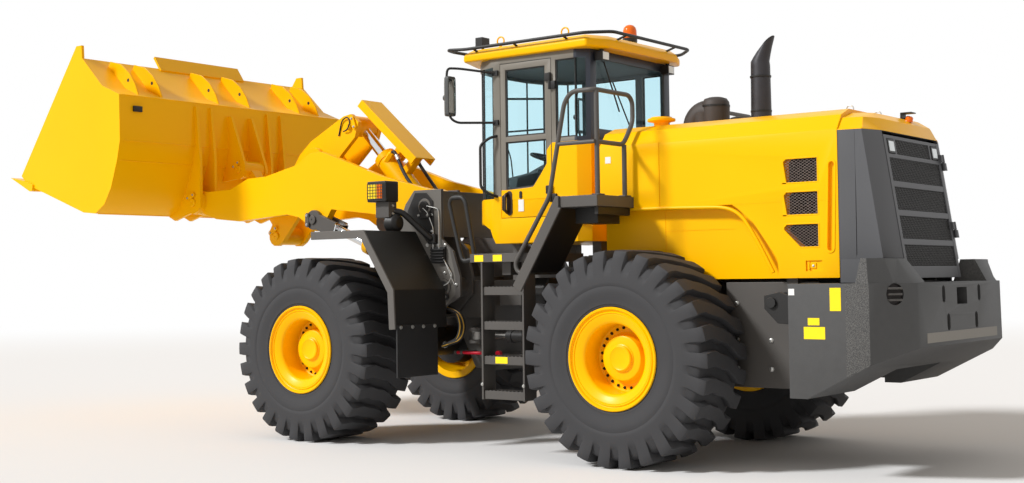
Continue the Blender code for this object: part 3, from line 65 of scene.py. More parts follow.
# The view and the studio
# The machine stands on a pale floor, seen from behind its left rear wheel, 1.64 m up.  A soft
# sun and an even white surround light it.  Places in this file are given from the steering
# hinge's axis on the ground: +x to the bucket, +y left, +z up.
HINGE_X = next(j for j in frame["joints"] if j["name"] == "steer")["pos_m"][0]
EYE = (-8.4614, 11.5046, 1.6418)
EYE_YAW, EYE_PITCH, EYE_ROLL = (math.radians(a) for a in (-52.578, 2.649, -0.698))
PICTURE = (1024, 483)
FOCAL_PIXELS = 1385.17
PICTURE_CENTRE = (512.775, 213.82)
FLOOR_RADIUS = 60
FLOOR_CLEAR = (16, 40)               # the floor's shade fades to white between these radii
SUN_TURN = (54, 0, 146)              # degrees from straight down, and about the vertical
SUN_STRENGTH = 3.3
SUN_SPREAD = 9
SURROUND = ("FFF7EE", 0.50)


def linear(code):
    """An sRGB hex value as linear red, green, blue and alpha."""
    parts = [int(code[i:i + 2], 16) / 255 for i in (0, 2, 4)]
    return [c / 12.92 if c <= 0.04045 else ((c + 0.055) / 1.055) ** 2.4 for c in parts] + [1.0]


def add(tree, kind, inputs=None, **settings):
    """Add one node with its settings, and give each input a value or a link."""
    node = tree.nodes.new(kind)
    for key, value in settings.items():
        setattr(node, key, value)
    for key, value in (inputs or {}).items():
        if isinstance(value, bpy.types.NodeSocket):
            tree.links.new(value, node.inputs[key])
        else:
            node.inputs[key].default_value = value
    return node


def placed(item):
    bpy.context.scene.collection.objects.link(item)
    return item


camera = placed(bpy.data.objects.new("camera", bpy.data.cameras.new("camera")))
ahead = Vector((math.cos(EYE_YAW) * math.cos(EYE_PITCH), math.sin(EYE_YAW) * math.cos(EYE_PITCH),
    math.sin(EYE_PITCH)))
level = ahead.cross(Vector((0, 0, 1))).normalized()
upward = level.cross(ahead)
right = level * math.cos(EYE_ROLL) + upward * math.sin(EYE_ROLL)
above = upward * math.cos(EYE_ROLL) - level * math.sin(EYE_ROLL)
camera.matrix_world = Matrix.Translation(Vector(EYE) + Vector((HINGE_X, 0, 0))) @ Matrix((right, above,
    -ahead)).transposed().to_4x4()
camera.data.sensor_width = 36
camera.data.lens = FOCAL_PIXELS / PICTURE[0] * camera.data.sensor_width
camera.data.shift_x = (PICTURE[0] / 2 - PICTURE_CENTRE[0]) / PICTURE[0]
camera.data.shift_y = (PICTURE_CENTRE[1] - PICTURE[1] / 2) / PICTURE[0]
camera.data.clip_end = 500
bpy.context.scene.camera = camera
bpy.context.scene.view_settings.view_transform = "Standard"

sun = placed(bpy.data.objects.new("sun", bpy.data.lights.new("sun", "SUN")))
sun.data.energy = SUN_STRENGTH
sun.data.angle = math.radians(SUN_SPREAD)
sun.rotation_euler = [math.radians(a) for a in SUN_TURN]

world = bpy.data.worlds.new("surround")
bpy.context.scene.world = world
world.use_nodes = True
tree = world.node_tree
tree.nodes.clear()
path = add(tree, "ShaderNodeLightPath")
seen = add(tree, "ShaderNodeMath",
    {0: path.outputs["Is Camera Ray"], 1: path.outputs["Is Transmission Ray"]}, operation="MAXIMUM")
shown = add(tree, "ShaderNodeMath", {0: seen.outputs[0], 1: path.outputs["Is Glossy Ray"]},
    operation="MAXIMUM")
lit = add(tree, "ShaderNodeBackground", {"Color": linear(SURROUND[0]), "Strength": SURROUND[1]})
white = add(tree, "ShaderNodeBackground", {"Color": linear("FFFFFF"), "Strength": 1.0})
blend = add(tree, "ShaderNodeMixShader", {0: shown.outputs[0], 1: lit.outputs[0], 2: white.outputs[0]})
add(tree, "ShaderNodeOutputWorld", {"Surface": blend.outputs[0]})

disc = bmesh.new()
bmesh.ops.create_circle(disc, cap_ends=True, radius=FLOOR_RADIUS, segments=96)
floor = placed(bpy.data.objects.new("floor", bpy.data.meshes.new("floor")))
disc.to_mesh(floor.data)
disc.free()
floor_paint = bpy.data.materials.new("studio_floor_paint")
floor_paint.use_nodes = True
tree = floor_paint.node_tree
tree.nodes.clear()
path = add(tree, "ShaderNodeLightPath")
where = add(tree, "ShaderNodeNewGeometry")
reach = add(tree, "ShaderNodeVectorMath", {0: where.outputs["Position"]}, operation="LENGTH")
fade = add(tree, "ShaderNodeMapRange", {"Value": reach.outputs["Value"], "From Min": FLOOR_CLEAR[0],
    "From Max": FLOOR_CLEAR[1]}, interpolation_type="SMOOTHSTEP")
seen = add(tree, "ShaderNodeMath", {0: fade.outputs[0], 1: path.outputs["Is Camera Ray"]},
    operation="MULTIPLY")
dull = add(tree, "ShaderNodeBsdfDiffuse", {"Color": linear("E9E9E9")})
white = add(tree, "ShaderNodeEmission", {"Color": linear("FFFFFF"), "Strength": 1.0})
blend = add(tree, "ShaderNodeMixShader", {0: seen.outputs[0], 1: dull.outputs[0], 2: white.outputs[0]})
add(tree, "ShaderNodeOutputMaterial", {"Surface": blend.outputs[0]})
floor.data.materials.append(floor_paint)
floor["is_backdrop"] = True


# Tyres
# Radial earthmover tyres of black rubber, moulded in one piece: deep traction lugs that run
# over both shoulders, smooth side walls with fine moulding rings, and a thick bead.  The
# rubber is matt and slightly grey from dust.
LUG_COUNT = 26
BEAD_HALF = 0.33
BEAD_RADIUS = 0.4005
WHEELS = ("front_left", "front_right", "rear_left", "rear_right")


MIX_A, MIX_B, MIX_RESULT = 6, 7, 2   # the colour sockets of a Mix node
WELD = 0.00002
SHARP = 28                           # degrees; a flatter edge isn't rounded


def fresh(name, slot):
    """A new material with its nodes, its shader and the place on the object."""
    made = bpy.data.materials.new(name)
    made.use_nodes = True
    made["slot"] = slot
    tree = made.node_tree
    return made, tree, tree.nodes["Principled BSDF"], add(tree, "ShaderNodeTexCoord").outputs["Object"]


def surface(name, light, dark, patch_mm, roughness, bump_mm, grain_mm, slot, **shader_values):
    """A Principled material: two close colours in soft patches, and a fine grain in the relief."""
    made, tree, shader, place = fresh(name, slot)
    patch = add(tree, "ShaderNodeTexNoise", {"Vector": place, "Scale": 1000 / patch_mm, "Detail": 4.0})
    mixed = add(tree, "ShaderNodeMix", {0: patch.outputs["Fac"], MIX_A: linear(dark), MIX_B: linear(light)},
        data_type="RGBA")
    tree.links.new(mixed.outputs[MIX_RESULT], shader.inputs["Base Color"])
    gloss = add(tree, "ShaderNodeMapRange", {"Value": patch.outputs["Fac"], "To Min": roughness[0],
        "To Max": roughness[1]})
    tree.links.new(gloss.outputs["Result"], shader.inputs["Roughness"])
    grain = add(tree, "ShaderNodeTexNoise", {"Vector": place, "Scale": 1000 / grain_mm, "Detail": 3.0})
    relief = add(tree, "ShaderNodeBump", {"Height": grain.outputs["Fac"], "Distance": bump_mm / 1000,
        "Strength": 1.0})
    tree.links.new(relief.outputs["Normal"], shader.inputs["Normal"])
    for socket, value in shader_values.items():
        shader.inputs[socket.replace("_", " ")].default_value = value
    return made


def skin(rings, caps=True):
    """Points and faces of a wall through equal rings of points."""
    count = len(rings[0])
    points = [tuple(p) for ring in rings for p in ring]
    faces = []
    for r in range(len(rings) - 1):
        near, far = r * count, (r + 1) * count
        faces += [(near + i, near + (i + 1) % count, far + (i + 1) % count, far + i) for i in range(count)]
    if caps:
        faces += [tuple(range(count))[::-1], tuple(range((len(rings) - 1) * count, len(rings) * count))]
    return points, faces


def moved(part, matrix):
    return [tuple(matrix @ Vector(p)) for p in part[0]], part[1]


def rounded(piece, width, steps):
    rounding = piece.modifiers.new("edge", "BEVEL")
    rounding.width = width
    rounding.segments = steps
    rounding.limit_method = "ANGLE"
    rounding.angle_limit = math.radians(SHARP)


def finish(piece, body, paint, nodes=(), edge=0.0, smooth=35.0, steps=2):
    """Round the edges, smooth what is curved, paint the piece and fix it to its body."""
    if edge:
        rounded(piece, edge, steps)
    piece.data.shade_smooth()
    piece.data.set_sharp_from_angle(angle=math.radians(smooth))
    if edge:
        weighted = piece.modifiers.new("normals", "WEIGHTED_NORMAL")
        weighted.keep_sharp = False
        piece.data.set_sharp_from_angle(angle=math.radians(180))
    piece.data.materials.clear()
    piece.data.materials.append(paint)
    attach(piece, body)
    if nodes:
        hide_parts(*nodes)
    return piece


def joined(name, parts, weld=True):
    """One object out of several closed parts, given from the hinge axis."""
    points, faces = [], []
    for part_points, part_faces in parts:
        start = len(points)
        points += [(x + HINGE_X, y, z) for x, y, z in part_points]
        faces += [tuple(i + start for i in face) for face in part_faces]
    mesh = bpy.data.meshes.new(name)
    mesh.from_pydata(points, [], faces)
    shape = bmesh.new()
    shape.from_mesh(mesh)
    if weld:
        bmesh.ops.remove_doubles(shape, verts=shape.verts, dist=WELD)
    bmesh.ops.recalc_face_normals(shape, faces=shape.faces)
    shape.to_mesh(mesh)
    shape.free()
    return placed(bpy.data.objects.new(name, mesh))


def build(name, parts, body, paint, nodes=(), edge=0.0, smooth=35.0, steps=2):
    return finish(joined(name, parts), body, paint, nodes, edge, smooth, steps)


def node_body(node):
    return next(body for body, nodes in frame["record"]["behaviour"]["bodies"].items() if node in nodes)


tyre_rubber = surface("moulded_tyre_rubber", "3E3E40", "303032", 260, (0.62, 0.86), 0.6, 6, "rubber",
    Specular_IOR_Level=0.35)
# y and radius on a lug, y and radius in a groove, lead in quarters of a pitch to the left, to the right
TREAD_ROWS = [(0.00, 0.937, 0.00, 0.885, 0.0, 0.0), (0.10, 0.937, 0.10, 0.880, -0.35, 0.8),
    (0.20, 0.9370, 0.20, 0.874, -0.95, 2.1), (0.30, 0.9345, 0.288, 0.866, -0.75, 2.45),
    (0.338, 0.929, 0.318, 0.852, -0.62, 2.6), (0.349, 0.915, 0.330, 0.838, -0.64, 2.62),
    (0.3575, 0.86, 0.340, 0.808, -0.80, 2.8), (0.3625, 0.80, 0.350, 0.775, -0.95, 2.95),
    (0.3655, 0.76, 0.360, 0.752, -1.0, 3.0)]
WALL_ROWS = [(0.3675, 0.735), (0.371, 0.70), (0.3735, 0.66), (0.3735, 0.632), (0.3705, 0.628),
    (0.3705, 0.622), (0.3725, 0.618), (0.3695, 0.57), (0.361, 0.52), (0.352, 0.483), (0.3525, 0.474),
    (0.347, 0.47), (0.342, 0.4505), (0.3325, 0.4485), (0.3305, 0.43), (BEAD_HALF, BEAD_RADIUS)]
# place in a pitch, and 1 on the lug, 0 in the groove, or between them at its rounded edge
LUG_STATIONS = [(-0.155, 0.93), (-0.135, 1.0), (0.125, 1.0), (0.385, 1.0), (0.405, 0.93), (0.44, 0.0),
    (0.625, 0.0), (0.81, 0.0)]


def tyre_ring(y_radius, lead, side):
    """One ring of points round the tyre; y_radius gives the place for a share of lug height."""
    ring = []
    for lug in range(LUG_COUNT):
        for place, share in LUG_STATIONS:
            angle = 2 * math.pi * (lug + place + lead / 4) / LUG_COUNT
            y, radius = y_radius(share)
            ring.append((radius * math.cos(angle), side * y, radius * math.sin(angle)))
    return ring


def tyre_rings():
    """Rings from the left bead over the tread to the right bead, and back to the first."""
    halves = []
    for side, lead in ((1, 4), (-1, 5)):
        half = [tyre_ring(lambda share: (row[2] + (row[0] - row[2]) * share,
            row[3] + (row[1] - row[3]) * share), row[lead], side) for row in TREAD_ROWS]
        half += [tyre_ring(lambda share: wall, TREAD_ROWS[-1][lead], side) for wall in WALL_ROWS]
        halves.append(half)
    rings = halves[0][::-1] + halves[1][1:]
    turn = round((TREAD_ROWS[-1][5] - TREAD_ROWS[-1][4]) / 4 * len(LUG_STATIONS))
    return rings + [rings[0][turn:] + rings[0][:turn]]


tyre_skin = skin(tyre_rings(), caps=False)
wheel_centres = {}
for wheel in WHEELS:
    low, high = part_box("rim_" + wheel)
    wheel_centres[wheel] = (low + high) / 2 - Vector((HINGE_X, 0, 0))
    wheel_centres[wheel].z = (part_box("tyre_" + wheel)[0].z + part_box("tyre_" + wheel)[1].z) / 2
    part = moved(tyre_skin, Matrix.Translation(wheel_centres[wheel]))
    build("lugged_tyre_" + wheel, [part], "wheel_" + wheel, tyre_rubber, ("tyre_" + wheel,), smooth=38)


# Rims
# Three-piece steel rims: rolled base with a loose outer flange and lock ring, a cone band down
# to the deep-set disc, and the planetary hub's cap.  Enamelled in the machine's yellow, with
# the hub's screws left dark.
FLANGE_RADIUS = 0.447
FLANGE_Y = 0.36
DISH_RADIUS = 0.302
DISC_Y = 0.09
HUB_RADIUS = 0.20
CAP_RADIUS = 0.112
STUD_CIRCLE = 0.262
STUD_COUNT = 24


def turned(profile, start, end, sides=72):
    """Revolve (distance along, radius) points about the line from start to end."""
    start, end = Vector(start), Vector(end)
    matrix = Matrix.Translation(start) @ (end - start).to_track_quat("Z", "Y").to_matrix().to_4x4()
    rings = []
    for distance, radius in profile:
        angles = [2 * math.pi * i / sides for i in range(sides)]
        rings.append([matrix @ Vector((radius * math.cos(a), radius * math.sin(a),
            distance)) for a in angles])
    closed = profile[0] == profile[-1]
    return skin(rings, caps=not closed)


def upright(profile, foot, sides=48):
    """Revolve (height, radius) points about the vertical through foot."""
    return turned(profile, foot, (foot[0], foot[1], foot[2] + 1), sides)


def ringed(count, radius, y, part_at):
    """Parts set on a circle about the y axis."""
    parts = []
    for i in range(count):
        angle = 2 * math.pi * (i + 0.5) / count
        parts.append(part_at(radius * math.cos(angle), y, radius * math.sin(angle)))
    return parts


def hexagon(x, y, z, across, height, axis=(0, 1, 0)):
    """A hexagon head with a washer, standing on (x, y, z)."""
    foot = Vector((x, y, z))
    top = foot + Vector(axis) * height
    radius = across / math.sqrt(3)
    return [turned([(0, radius * 1.25), (height * 0.2, radius * 1.25)], foot, top, 14),
        turned([(height * 0.2, radius), (height * 0.9, radius), (height, radius * 0.86)], foot, top, 6)]


yellow_enamel = surface("baked_yellow_enamel", "FFC100", "FFB900", 900, (0.28, 0.36), 0.2, 14,
    "yellow_paint", Coat_Weight=0.03, Coat_Roughness=0.2, Specular_IOR_Level=0.12)
phosphated_steel = surface("phosphated_dark_steel", "2E2C2A", "1F1E1D", 20, (0.45, 0.6), 0.2, 4,
    "black_paint", Metallic=0.7)
RIM_PROFILE = [(-0.36, 0.372), (-0.36, 0.440), (-0.353, FLANGE_RADIUS), (-0.345, FLANGE_RADIUS),
    (-0.3315, 0.430), (-0.3305, 0.40), (0.3305, 0.40), (0.3315, 0.430), (0.345, FLANGE_RADIUS),
    (0.352, FLANGE_RADIUS), (FLANGE_Y, 0.440), (0.3595, 0.428), (0.352, 0.421), (0.341, 0.418),
    (0.336, 0.410), (0.341, 0.4045), (0.3465, 0.400), (0.345, 0.393), (0.3375, 0.3905), (0.337, 0.387),
    (0.3395, 0.383), (0.336, 0.372), (0.318, 0.330), (0.308, 0.312), (0.297, 0.3045), (0.285, DISH_RADIUS),
    (0.115, 0.298), (0.098, 0.292), (DISC_Y, 0.280), (DISC_Y, 0.226), (0.098, 0.220),
    (0.105, HUB_RADIUS + 0.008), (0.165, HUB_RADIUS), (0.185, HUB_RADIUS - 0.008), (0.19, HUB_RADIUS - 0.02),
    (0.19, 0.0), (0.05, 0.0), (0.05, 0.30), (0.03, 0.362), (-0.18, 0.368), (-0.36, 0.372)]
CAP_PROFILE = [(0.0, CAP_RADIUS + 0.012), (0.006, CAP_RADIUS + 0.010), (0.010, CAP_RADIUS),
    (0.026, CAP_RADIUS - 0.003), (0.031, CAP_RADIUS - 0.012), (0.026, CAP_RADIUS - 0.022), (0.024, 0.03),
    (0.024, 0.0)]
for wheel in WHEELS:
    side = 1 if wheel.endswith("left") else -1
    place = Matrix.Translation(wheel_centres[wheel]) @ Matrix.Diagonal((1, side, 1, 1))
    parts = [turned(RIM_PROFILE, (0, 0, 0), (0, 1, 0), 96), turned(CAP_PROFILE, (0, 0.19, 0), (0, 1, 0), 48)]
    for x, z in ((0.085, 0.02), (-0.085, -0.02)):
        parts.append(turned([(0, 0.014), (0.018, 0.014), (0.022, 0.010)], (x, 0.19, z), (x, 1, z), 16))
    build("dished_rim_" + wheel, [moved(p, place) for p in parts], "wheel_" + wheel, yellow_enamel,
        ("rim_" + wheel,), smooth=30)
    studs = ringed(STUD_COUNT, STUD_CIRCLE, DISC_Y + 0.0003, lambda x, y, z: hexagon(x, y, z, 0.019, 0.016))
    studs = [part for head in studs for part in head]
    build("hub_screws_" + wheel, [moved(p, place) for p in studs], "wheel_" + wheel, phosphated_steel,
        smooth=30)


# Axles and frames
# Cast axle housings and frames welded from thick plate.  The axles are painted black as painted shade for the dark
# under the machine, the frames a satin dark grey whose fine orange peel softens every highlight.  Pins are held by
# keeper plates with two screws, and grease runs to them in thin zinc-plated tubes.
TOWER_FACE_Y = 0.7208
BOOM_PIVOT = (0.922, 2.386)
LIFT_BASE = (0.676, 1.557)
SHAFT_START, SHAFT_BACK = (0.0, 0, 1.10), (-0.002, 0, 1.10)
LOCK_BAR_Z = 0.885
HOSE_RADIUS = 0.021
TANK_REAR, TANK_FRONT = -0.92, -0.63


def slab(axis, outline, low, high):
    """A plate cut to an outline, between two places along an axis."""
    def point(a, b, c):
        return {"x": (c, a, b), "y": (a, c, b), "z": (a, b, c)}[axis]
    return skin([[point(a, b, c) for a, b in outline] for c in (low, high)])


def block(x_span, y_span, z_span):
    (x0, x1), (y0, y1) = x_span, sorted(y_span)
    return slab("z", [(x0, y0), (x1, y0), (x1, y1), (x0, y1)], *z_span)


def bent(points, bend, steps=5):
    """The points of a path whose corners are rounded."""
    points = [Vector(p) for p in points]
    path = [points[0]]
    for before, corner, after in zip(points, points[1:], points[2:]):
        back, on = before - corner, after - corner
        reach = min(bend, back.length / 2, on.length / 2)
        start, end = corner + back.normalized() * reach, corner + on.normalized() * reach
        for i in range(steps + 1):
            t = i / steps
            path.append(start * (1 - t) ** 2 + corner * 2 * t * (1 - t) + end * t ** 2)
    return path + [points[-1]]


def tube(points, radius, bend=0.0, sides=12, closed=False):
    """A round bar along a path."""
    path = bent(points, bend) if bend else [Vector(p) for p in points]
    rings, side = [], None
    for i, point in enumerate(path):
        before = path[i - 1] if i else (path[-2] if closed else path[0])
        after = path[i + 1] if i + 1 < len(path) else (path[1] if closed else path[-1])
        tangent = (after - before).normalized()
        side = (side or tangent.orthogonal())
        side = (side - tangent * side.dot(tangent)).normalized()
        other = tangent.cross(side)
        angles = [2 * math.pi * k / sides for k in range(sides)]
        rings.append([point + (side * math.cos(a) + other * math.sin(a)) * radius for a in angles])
    return skin(rings, caps=not closed)


def plate_path(path, thickness):
    """Close an open path into a plate of one thickness on its left, corners mitred."""
    points = [Vector(p) for p in path]
    moved_points = []
    for i, point in enumerate(points):
        before = (point - points[i - 1]).normalized() if i else None
        after = (points[i + 1] - point).normalized() if i + 1 < len(points) else None
        tangent = ((before or after) + (after or before)).normalized()
        normal = Vector((-tangent.y, tangent.x))
        moved_points.append(tuple(point + normal * thickness / max(0.6, tangent.dot(after or before))))
    return [tuple(p) for p in path] + moved_points[::-1]


def mirror(parts):
    return [([(x, -y, z) for x, y, z in points], [face[::-1] for face in faces]) for points, faces in parts]


def both(parts):
    return list(parts) + mirror(parts)


def pair(name, parts, body, paint, nodes=(), **look):
    """A piece on the left, and its mirror image on the right."""
    for side, own in (("left", parts), ("right", mirror(parts))):
        build(name + "_" + side, own, body, paint, [node + "_" + side for node in nodes], **look)


def screws(places, axis, across=0.024, height=0.014):
    """Hexagon screws on their washers, at places on a face that looks along an axis."""
    return [part for place in places for part in hexagon(*place, across, height, axis)]


def capsule(centre, length, width, turn, steps=8):
    """The outline of a plate with round ends, turned by some degrees."""
    points = []
    for end in (1, -1):
        for i in range(steps + 1):
            angle = math.radians(-90 + 180 * i / steps) + (0 if end > 0 else math.pi)
            points.append((end * (length - width) / 2 + width / 2 * math.cos(angle),
                width / 2 * math.sin(angle)))
    turn = math.radians(turn)
    return [(centre[0] + a * math.cos(turn) - b * math.sin(turn),
        centre[1] + a * math.sin(turn) + b * math.cos(turn)) for a, b in points]


def pin_end(pin, y, side, turn, radius=0.052):
    """A pin's end, its keeper plate beside it, and the plate's two screws."""
    along = Vector((math.cos(math.radians(turn)), math.sin(math.radians(turn))))
    middle = (pin[0] + along.x * radius * 1.5, pin[1] + along.y * radius * 1.5)
    head = turned([(0, radius), (0.014, radius), (0.019, radius - 0.006), (0.019, 0.012), (0.012, 0.008)],
        (pin[0], side * y, pin[1]), (pin[0], side * (y + 1), pin[1]), 32)
    keeper = slab("y", capsule(middle, radius * 3.2, radius * 1.1, turn + 90),
        *sorted((side * (y + 0.006), side * (y + 0.022))))
    spots = [(middle[0] + s * along.y * radius, side * (y + 0.022),
        middle[1] - s * along.x * radius) for s in (-1, 1)]
    return [head, keeper], screws(spots, (0, side, 0), 0.02, 0.012)


def custom_free(mesh):
    """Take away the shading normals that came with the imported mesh."""
    layer = mesh.attributes.get("custom_normal")
    if layer:
        mesh.attributes.remove(layer)


def softened(node, paint, edge, steps=2, also=(), cuts=(), grooves=()):
    """The node's own shape with its edges rounded, in its place.

    also: further paints, each with a test of a face's middle and normal.  cuts: planes that part
    the faces first.  grooves: parts that are cut away after the edges are rounded.
    """
    piece = placed(bpy.data.objects.new(node + "_skin", frame["nodes"][node].data.copy()))
    custom_free(piece.data)
    shape = bmesh.new()
    shape.from_mesh(piece.data)
    bmesh.ops.remove_doubles(shape, verts=shape.verts, dist=0.0001)
    bmesh.ops.dissolve_limit(shape, angle_limit=math.radians(1), verts=shape.verts, edges=shape.edges)
    for layer in list(shape.loops.layers.uv):
        shape.loops.layers.uv.remove(layer)
    shape.to_mesh(piece.data)
    shape.free()
    if grooves or cuts:
        rounded(piece, edge, steps)
        for groove in grooves:
            tool = joined("groove", [groove], weld=False)
            carve = piece.modifiers.new("groove", "BOOLEAN")
            carve.operation = "DIFFERENCE"
            carve.solver = "EXACT"
            carve.object = tool
        graph = bpy.context.evaluated_depsgraph_get()
        result = bpy.data.meshes.new_from_object(piece.evaluated_get(graph))
        for modifier in list(piece.modifiers):
            tool = modifier.object if modifier.type == "BOOLEAN" else None
            piece.modifiers.remove(modifier)
            if tool:
                bpy.data.objects.remove(tool, do_unlink=True)
        piece.data = result
        custom_free(piece.data)
        shape = bmesh.new()
        shape.from_mesh(piece.data)
        for place, normal in cuts:
            place = Vector(place) + Vector((HINGE_X, 0, 0))
            everything = list(shape.verts) + list(shape.edges) + list(shape.faces)
            bmesh.ops.bisect_plane(shape, geom=everything, dist=0.00001, plane_co=place, plane_no=normal)
        shape.to_mesh(piece.data)
        shape.free()
        edge = 0.0
    finish(piece, node_body(node), paint, (node,), edge, steps=steps)
    for extra, test in also:
        piece.data.materials.append(extra)
    for face in piece.data.polygons if also else ():
        middle = face.center - Vector((HINGE_X, 0, 0))
        for index, (extra, test) in enumerate(also):
            if test(middle, face.normal):
                face.material_index = index + 1
    return piece


grey_enamel = surface("satin_grey_enamel", "54514E", "4B4845", 500, (0.42, 0.52), 0.5, 9, "grey_paint",
    Specular_IOR_Level=0.35)
black_enamel = surface("satin_black_enamel", "232221", "1A1918", 400, (0.42, 0.52), 0.4, 8, "black_paint",
    Specular_IOR_Level=0.35)
ground_steel = surface("ground_pin_steel", "8C8A86", "72706C", 25, (0.28, 0.4), 0.15, 3, "chrome",
    Metallic=1.0)
zinc_steel = surface("zinc_plated_steel", "C9C8C4", "AFAEAA", 12, (0.3, 0.42), 0.2, 3, "chrome",
    Metallic=0.9)
hose_rubber = surface("braided_hose_rubber", "1C1C1D", "131314", 30, (0.55, 0.7), 0.8, 3, "rubber")
hose_marking_and_highlight = surface("yellow_hose_marking_and_highlight", "C79A2C", "A87F1E", 20, (0.4, 0.5), 0.2, 4, "yellow_paint")
red_enamel = surface("gloss_red_enamel", "C8102E", "B60D27", 60, (0.25, 0.35), 0.2, 6, "yellow_paint")
blank_label = surface("blank_yellow_vinyl", "FFE000", "FFDA00", 80, (0.35, 0.42), 0.02, 4, "yellow_paint")
pale_label = surface("blank_white_vinyl", "EDEDEA", "E4E4E0", 80, (0.35, 0.42), 0.02, 4, "grey_paint")
# The axles' black is painted shade for the dark under the machine.
for node in ("front_axle", "rear_axle"):
    softened(node, black_enamel, 0.012)
tower_grey = surface("mid_grey_enamel", "6C6964", "625F5A", 400, (0.42, 0.5), 0.4, 8, "grey_paint",
    Specular_IOR_Level=0.3)
softened("rear_frame", grey_enamel, 0.005)
softened("front_frame", grey_enamel, 0.005,
    also=[(tower_grey, lambda m, n: abs(n.y) > 0.8 and abs(m.y) > 0.70)])
keepers, fasteners = [], []
for pin, turn in ((BOOM_PIVOT, -90), (LIFT_BASE, -80)):
    for side in (1, -1):
        plate, holding = pin_end(pin, TOWER_FACE_Y + 0.0195, side, turn, 0.06)
        keepers += plate
        fasteners += holding
build("frame_pin_keepers", keepers, "front_body", black_enamel, edge=0.002)
side_cover = [(1.055, 2.535), (0.905, 2.53), (0.815, 2.44), (0.80, 2.05), (0.90, 2.02), (1.165, 2.34)]
build("boom_pivot_covers", both([slab("y", side_cover, TOWER_FACE_Y, TOWER_FACE_Y + 0.012)]), "front_body",
    black_enamel, edge=0.004)
manifold = [block((0.645, 0.83), (TOWER_FACE_Y, TOWER_FACE_Y + 0.03), (1.80, 1.965))]
manifold += [block((0.65, 0.825), (TOWER_FACE_Y + 0.028, TOWER_FACE_Y + 0.05),
    (z, z + 0.016)) for z in (1.81, 1.84, 1.87, 1.90, 1.93)]
build("grease_manifold", manifold, "front_body", black_enamel, edge=0.002)
# each line from the manifold to the boom's pivot or the lift cylinder's pin
GREASE_LINES = [[(0.80, 0.75, 1.95), (0.80, 0.745, 2.16), (0.86, 0.76, 2.32), (0.92, 0.765, 2.37)],
    [(0.72, 0.75, 1.95), (0.73, 0.735, 2.20), (0.74, 0.735, 2.36), (0.87, 0.765, 2.39)],
    [(0.66, 0.75, 1.84), (0.56, 0.735, 1.68), (0.60, 0.745, 1.60), (0.66, 0.775, 1.565)],
    [(0.67, 0.75, 1.86), (0.60, 0.74, 1.72), (0.56, 0.73, 1.62), (0.53, 0.728, 1.57)]]
grease = [tube(path, 0.005, 0.03, 8) for path in GREASE_LINES]
spots = [(0.83, TOWER_FACE_Y, 2.30), (0.83, TOWER_FACE_Y, 2.13), (0.90, TOWER_FACE_Y, 1.99),
    (0.76, TOWER_FACE_Y, 1.985), (0.66, TOWER_FACE_Y, 1.985), (0.52, TOWER_FACE_Y, 1.58),
    (0.67, TOWER_FACE_Y, 1.70)]
fasteners += both(screws(spots, (0, 1, 0), 0.026, 0.014))
build("frame_screws_and_grease_lines", fasteners + grease, "front_body", zinc_steel, smooth=40)
cover = [block((0.70, 0.724), (-0.70, 0.70), (2.07, 2.54))]
build("tower_rear_cover", cover, "front_body", grey_enamel, edge=0.003)
tower_rear = [(0.47, 1.66), (0.56, 1.92), (0.71, 2.05), (0.76, 2.05), (0.76, 1.38), (0.67, 1.36),
    (0.47, 1.46)]
build("tower_rear_plates", both([slab("y", tower_rear, 0.688, TOWER_FACE_Y - 0.0005)]), "front_body",
    grey_enamel, edge=0.005)
hinge_caps = [turned([(0, 0.075), (0.02, 0.075), (0.026, 0.066), (0.026, 0.0)], (0, 0, z), (0, 0, z + step),
    36) for z, step in ((1.534, 1), (0.687, -1))]
hinge_caps += [turned([(0, 0.03), (0.02, 0.026)], (0, 0, 1.56), (0, 0, 2), 16)]
build("hinge_pin_caps", hinge_caps, "rear_body", grey_enamel, edge=0.003)
yoke = [(0.035, 0.055), (0.07, 0.058), (0.09, 0.045)]
shaft = [turned(yoke + [(0.32, 0.045), (0.34, 0.08), (0.36, 0.08)], SHAFT_START, (1, 0, 1.10), 32),
    turned([(-0.028, 0.012), (-0.018, 0.024), (0.0, 0.03), (0.02, 0.026), (0.04, 0.02)], SHAFT_START,
    (1, 0, 1.10), 24)]
build("drive_shaft_front", shaft, "front_body", grey_enamel, edge=0.003)
shaft = [turned(yoke + [(0.36, 0.045), (0.38, 0.08), (0.437, 0.08)], SHAFT_BACK, (-1, 0, 1.10), 32)]
build("drive_shaft_rear", shaft, "rear_body", grey_enamel, edge=0.003)
lock_bar = [tube([(0.14, 0.52, LOCK_BAR_Z), (0.70, 0.52, LOCK_BAR_Z)], 0.017, sides=16),
    turned([(-0.02, 0.03), (0.02, 0.03)], (0.14, 0.52, LOCK_BAR_Z), (0.14, 1, LOCK_BAR_Z), 20)]
build("steering_lock_bar", lock_bar, "front_body", red_enamel, edge=0.002)
build("lock_bar_brackets", [block((x, x + 0.03), (0.295, 0.545), (0.868, 0.902)) for x in (0.60, 0.68)],
    "front_body", grey_enamel, edge=0.002)
hose_runs = []
for lift, out, size in ((0.0, 0.62, 1.0), (0.012, 0.57, 0.80)):
    hose_runs.append([(0.98, 0.41, 1.37 - lift), (0.80, out, 1.375 - lift),
        (0.93 - 0.40 * size, out + 0.03, 1.30), (0.93 - 0.46 * size, out + 0.03, 1.15),
        (0.93 - 0.40 * size, out + 0.03, 1.02), (0.80, out, 0.95 + lift), (0.98, 0.36, 0.945 + lift)])
build("hinge_hoses", [tube(run, HOSE_RADIUS, 0.12, 14) for run in hose_runs], "front_body", hose_rubber)
# A yellow stripe along the outer rear side of each hose: partly a marking, partly painted highlight for the hoses'
# golden sheen.
bands = [tube([(x - 0.012, y + 0.016, z) for x, y, z in run[1:-1]], 0.006, 0.12, 8) for run in hose_runs]
build("hinge_hose_markings_and_highlight", bands, "front_body", hose_marking_and_highlight)
joints = []
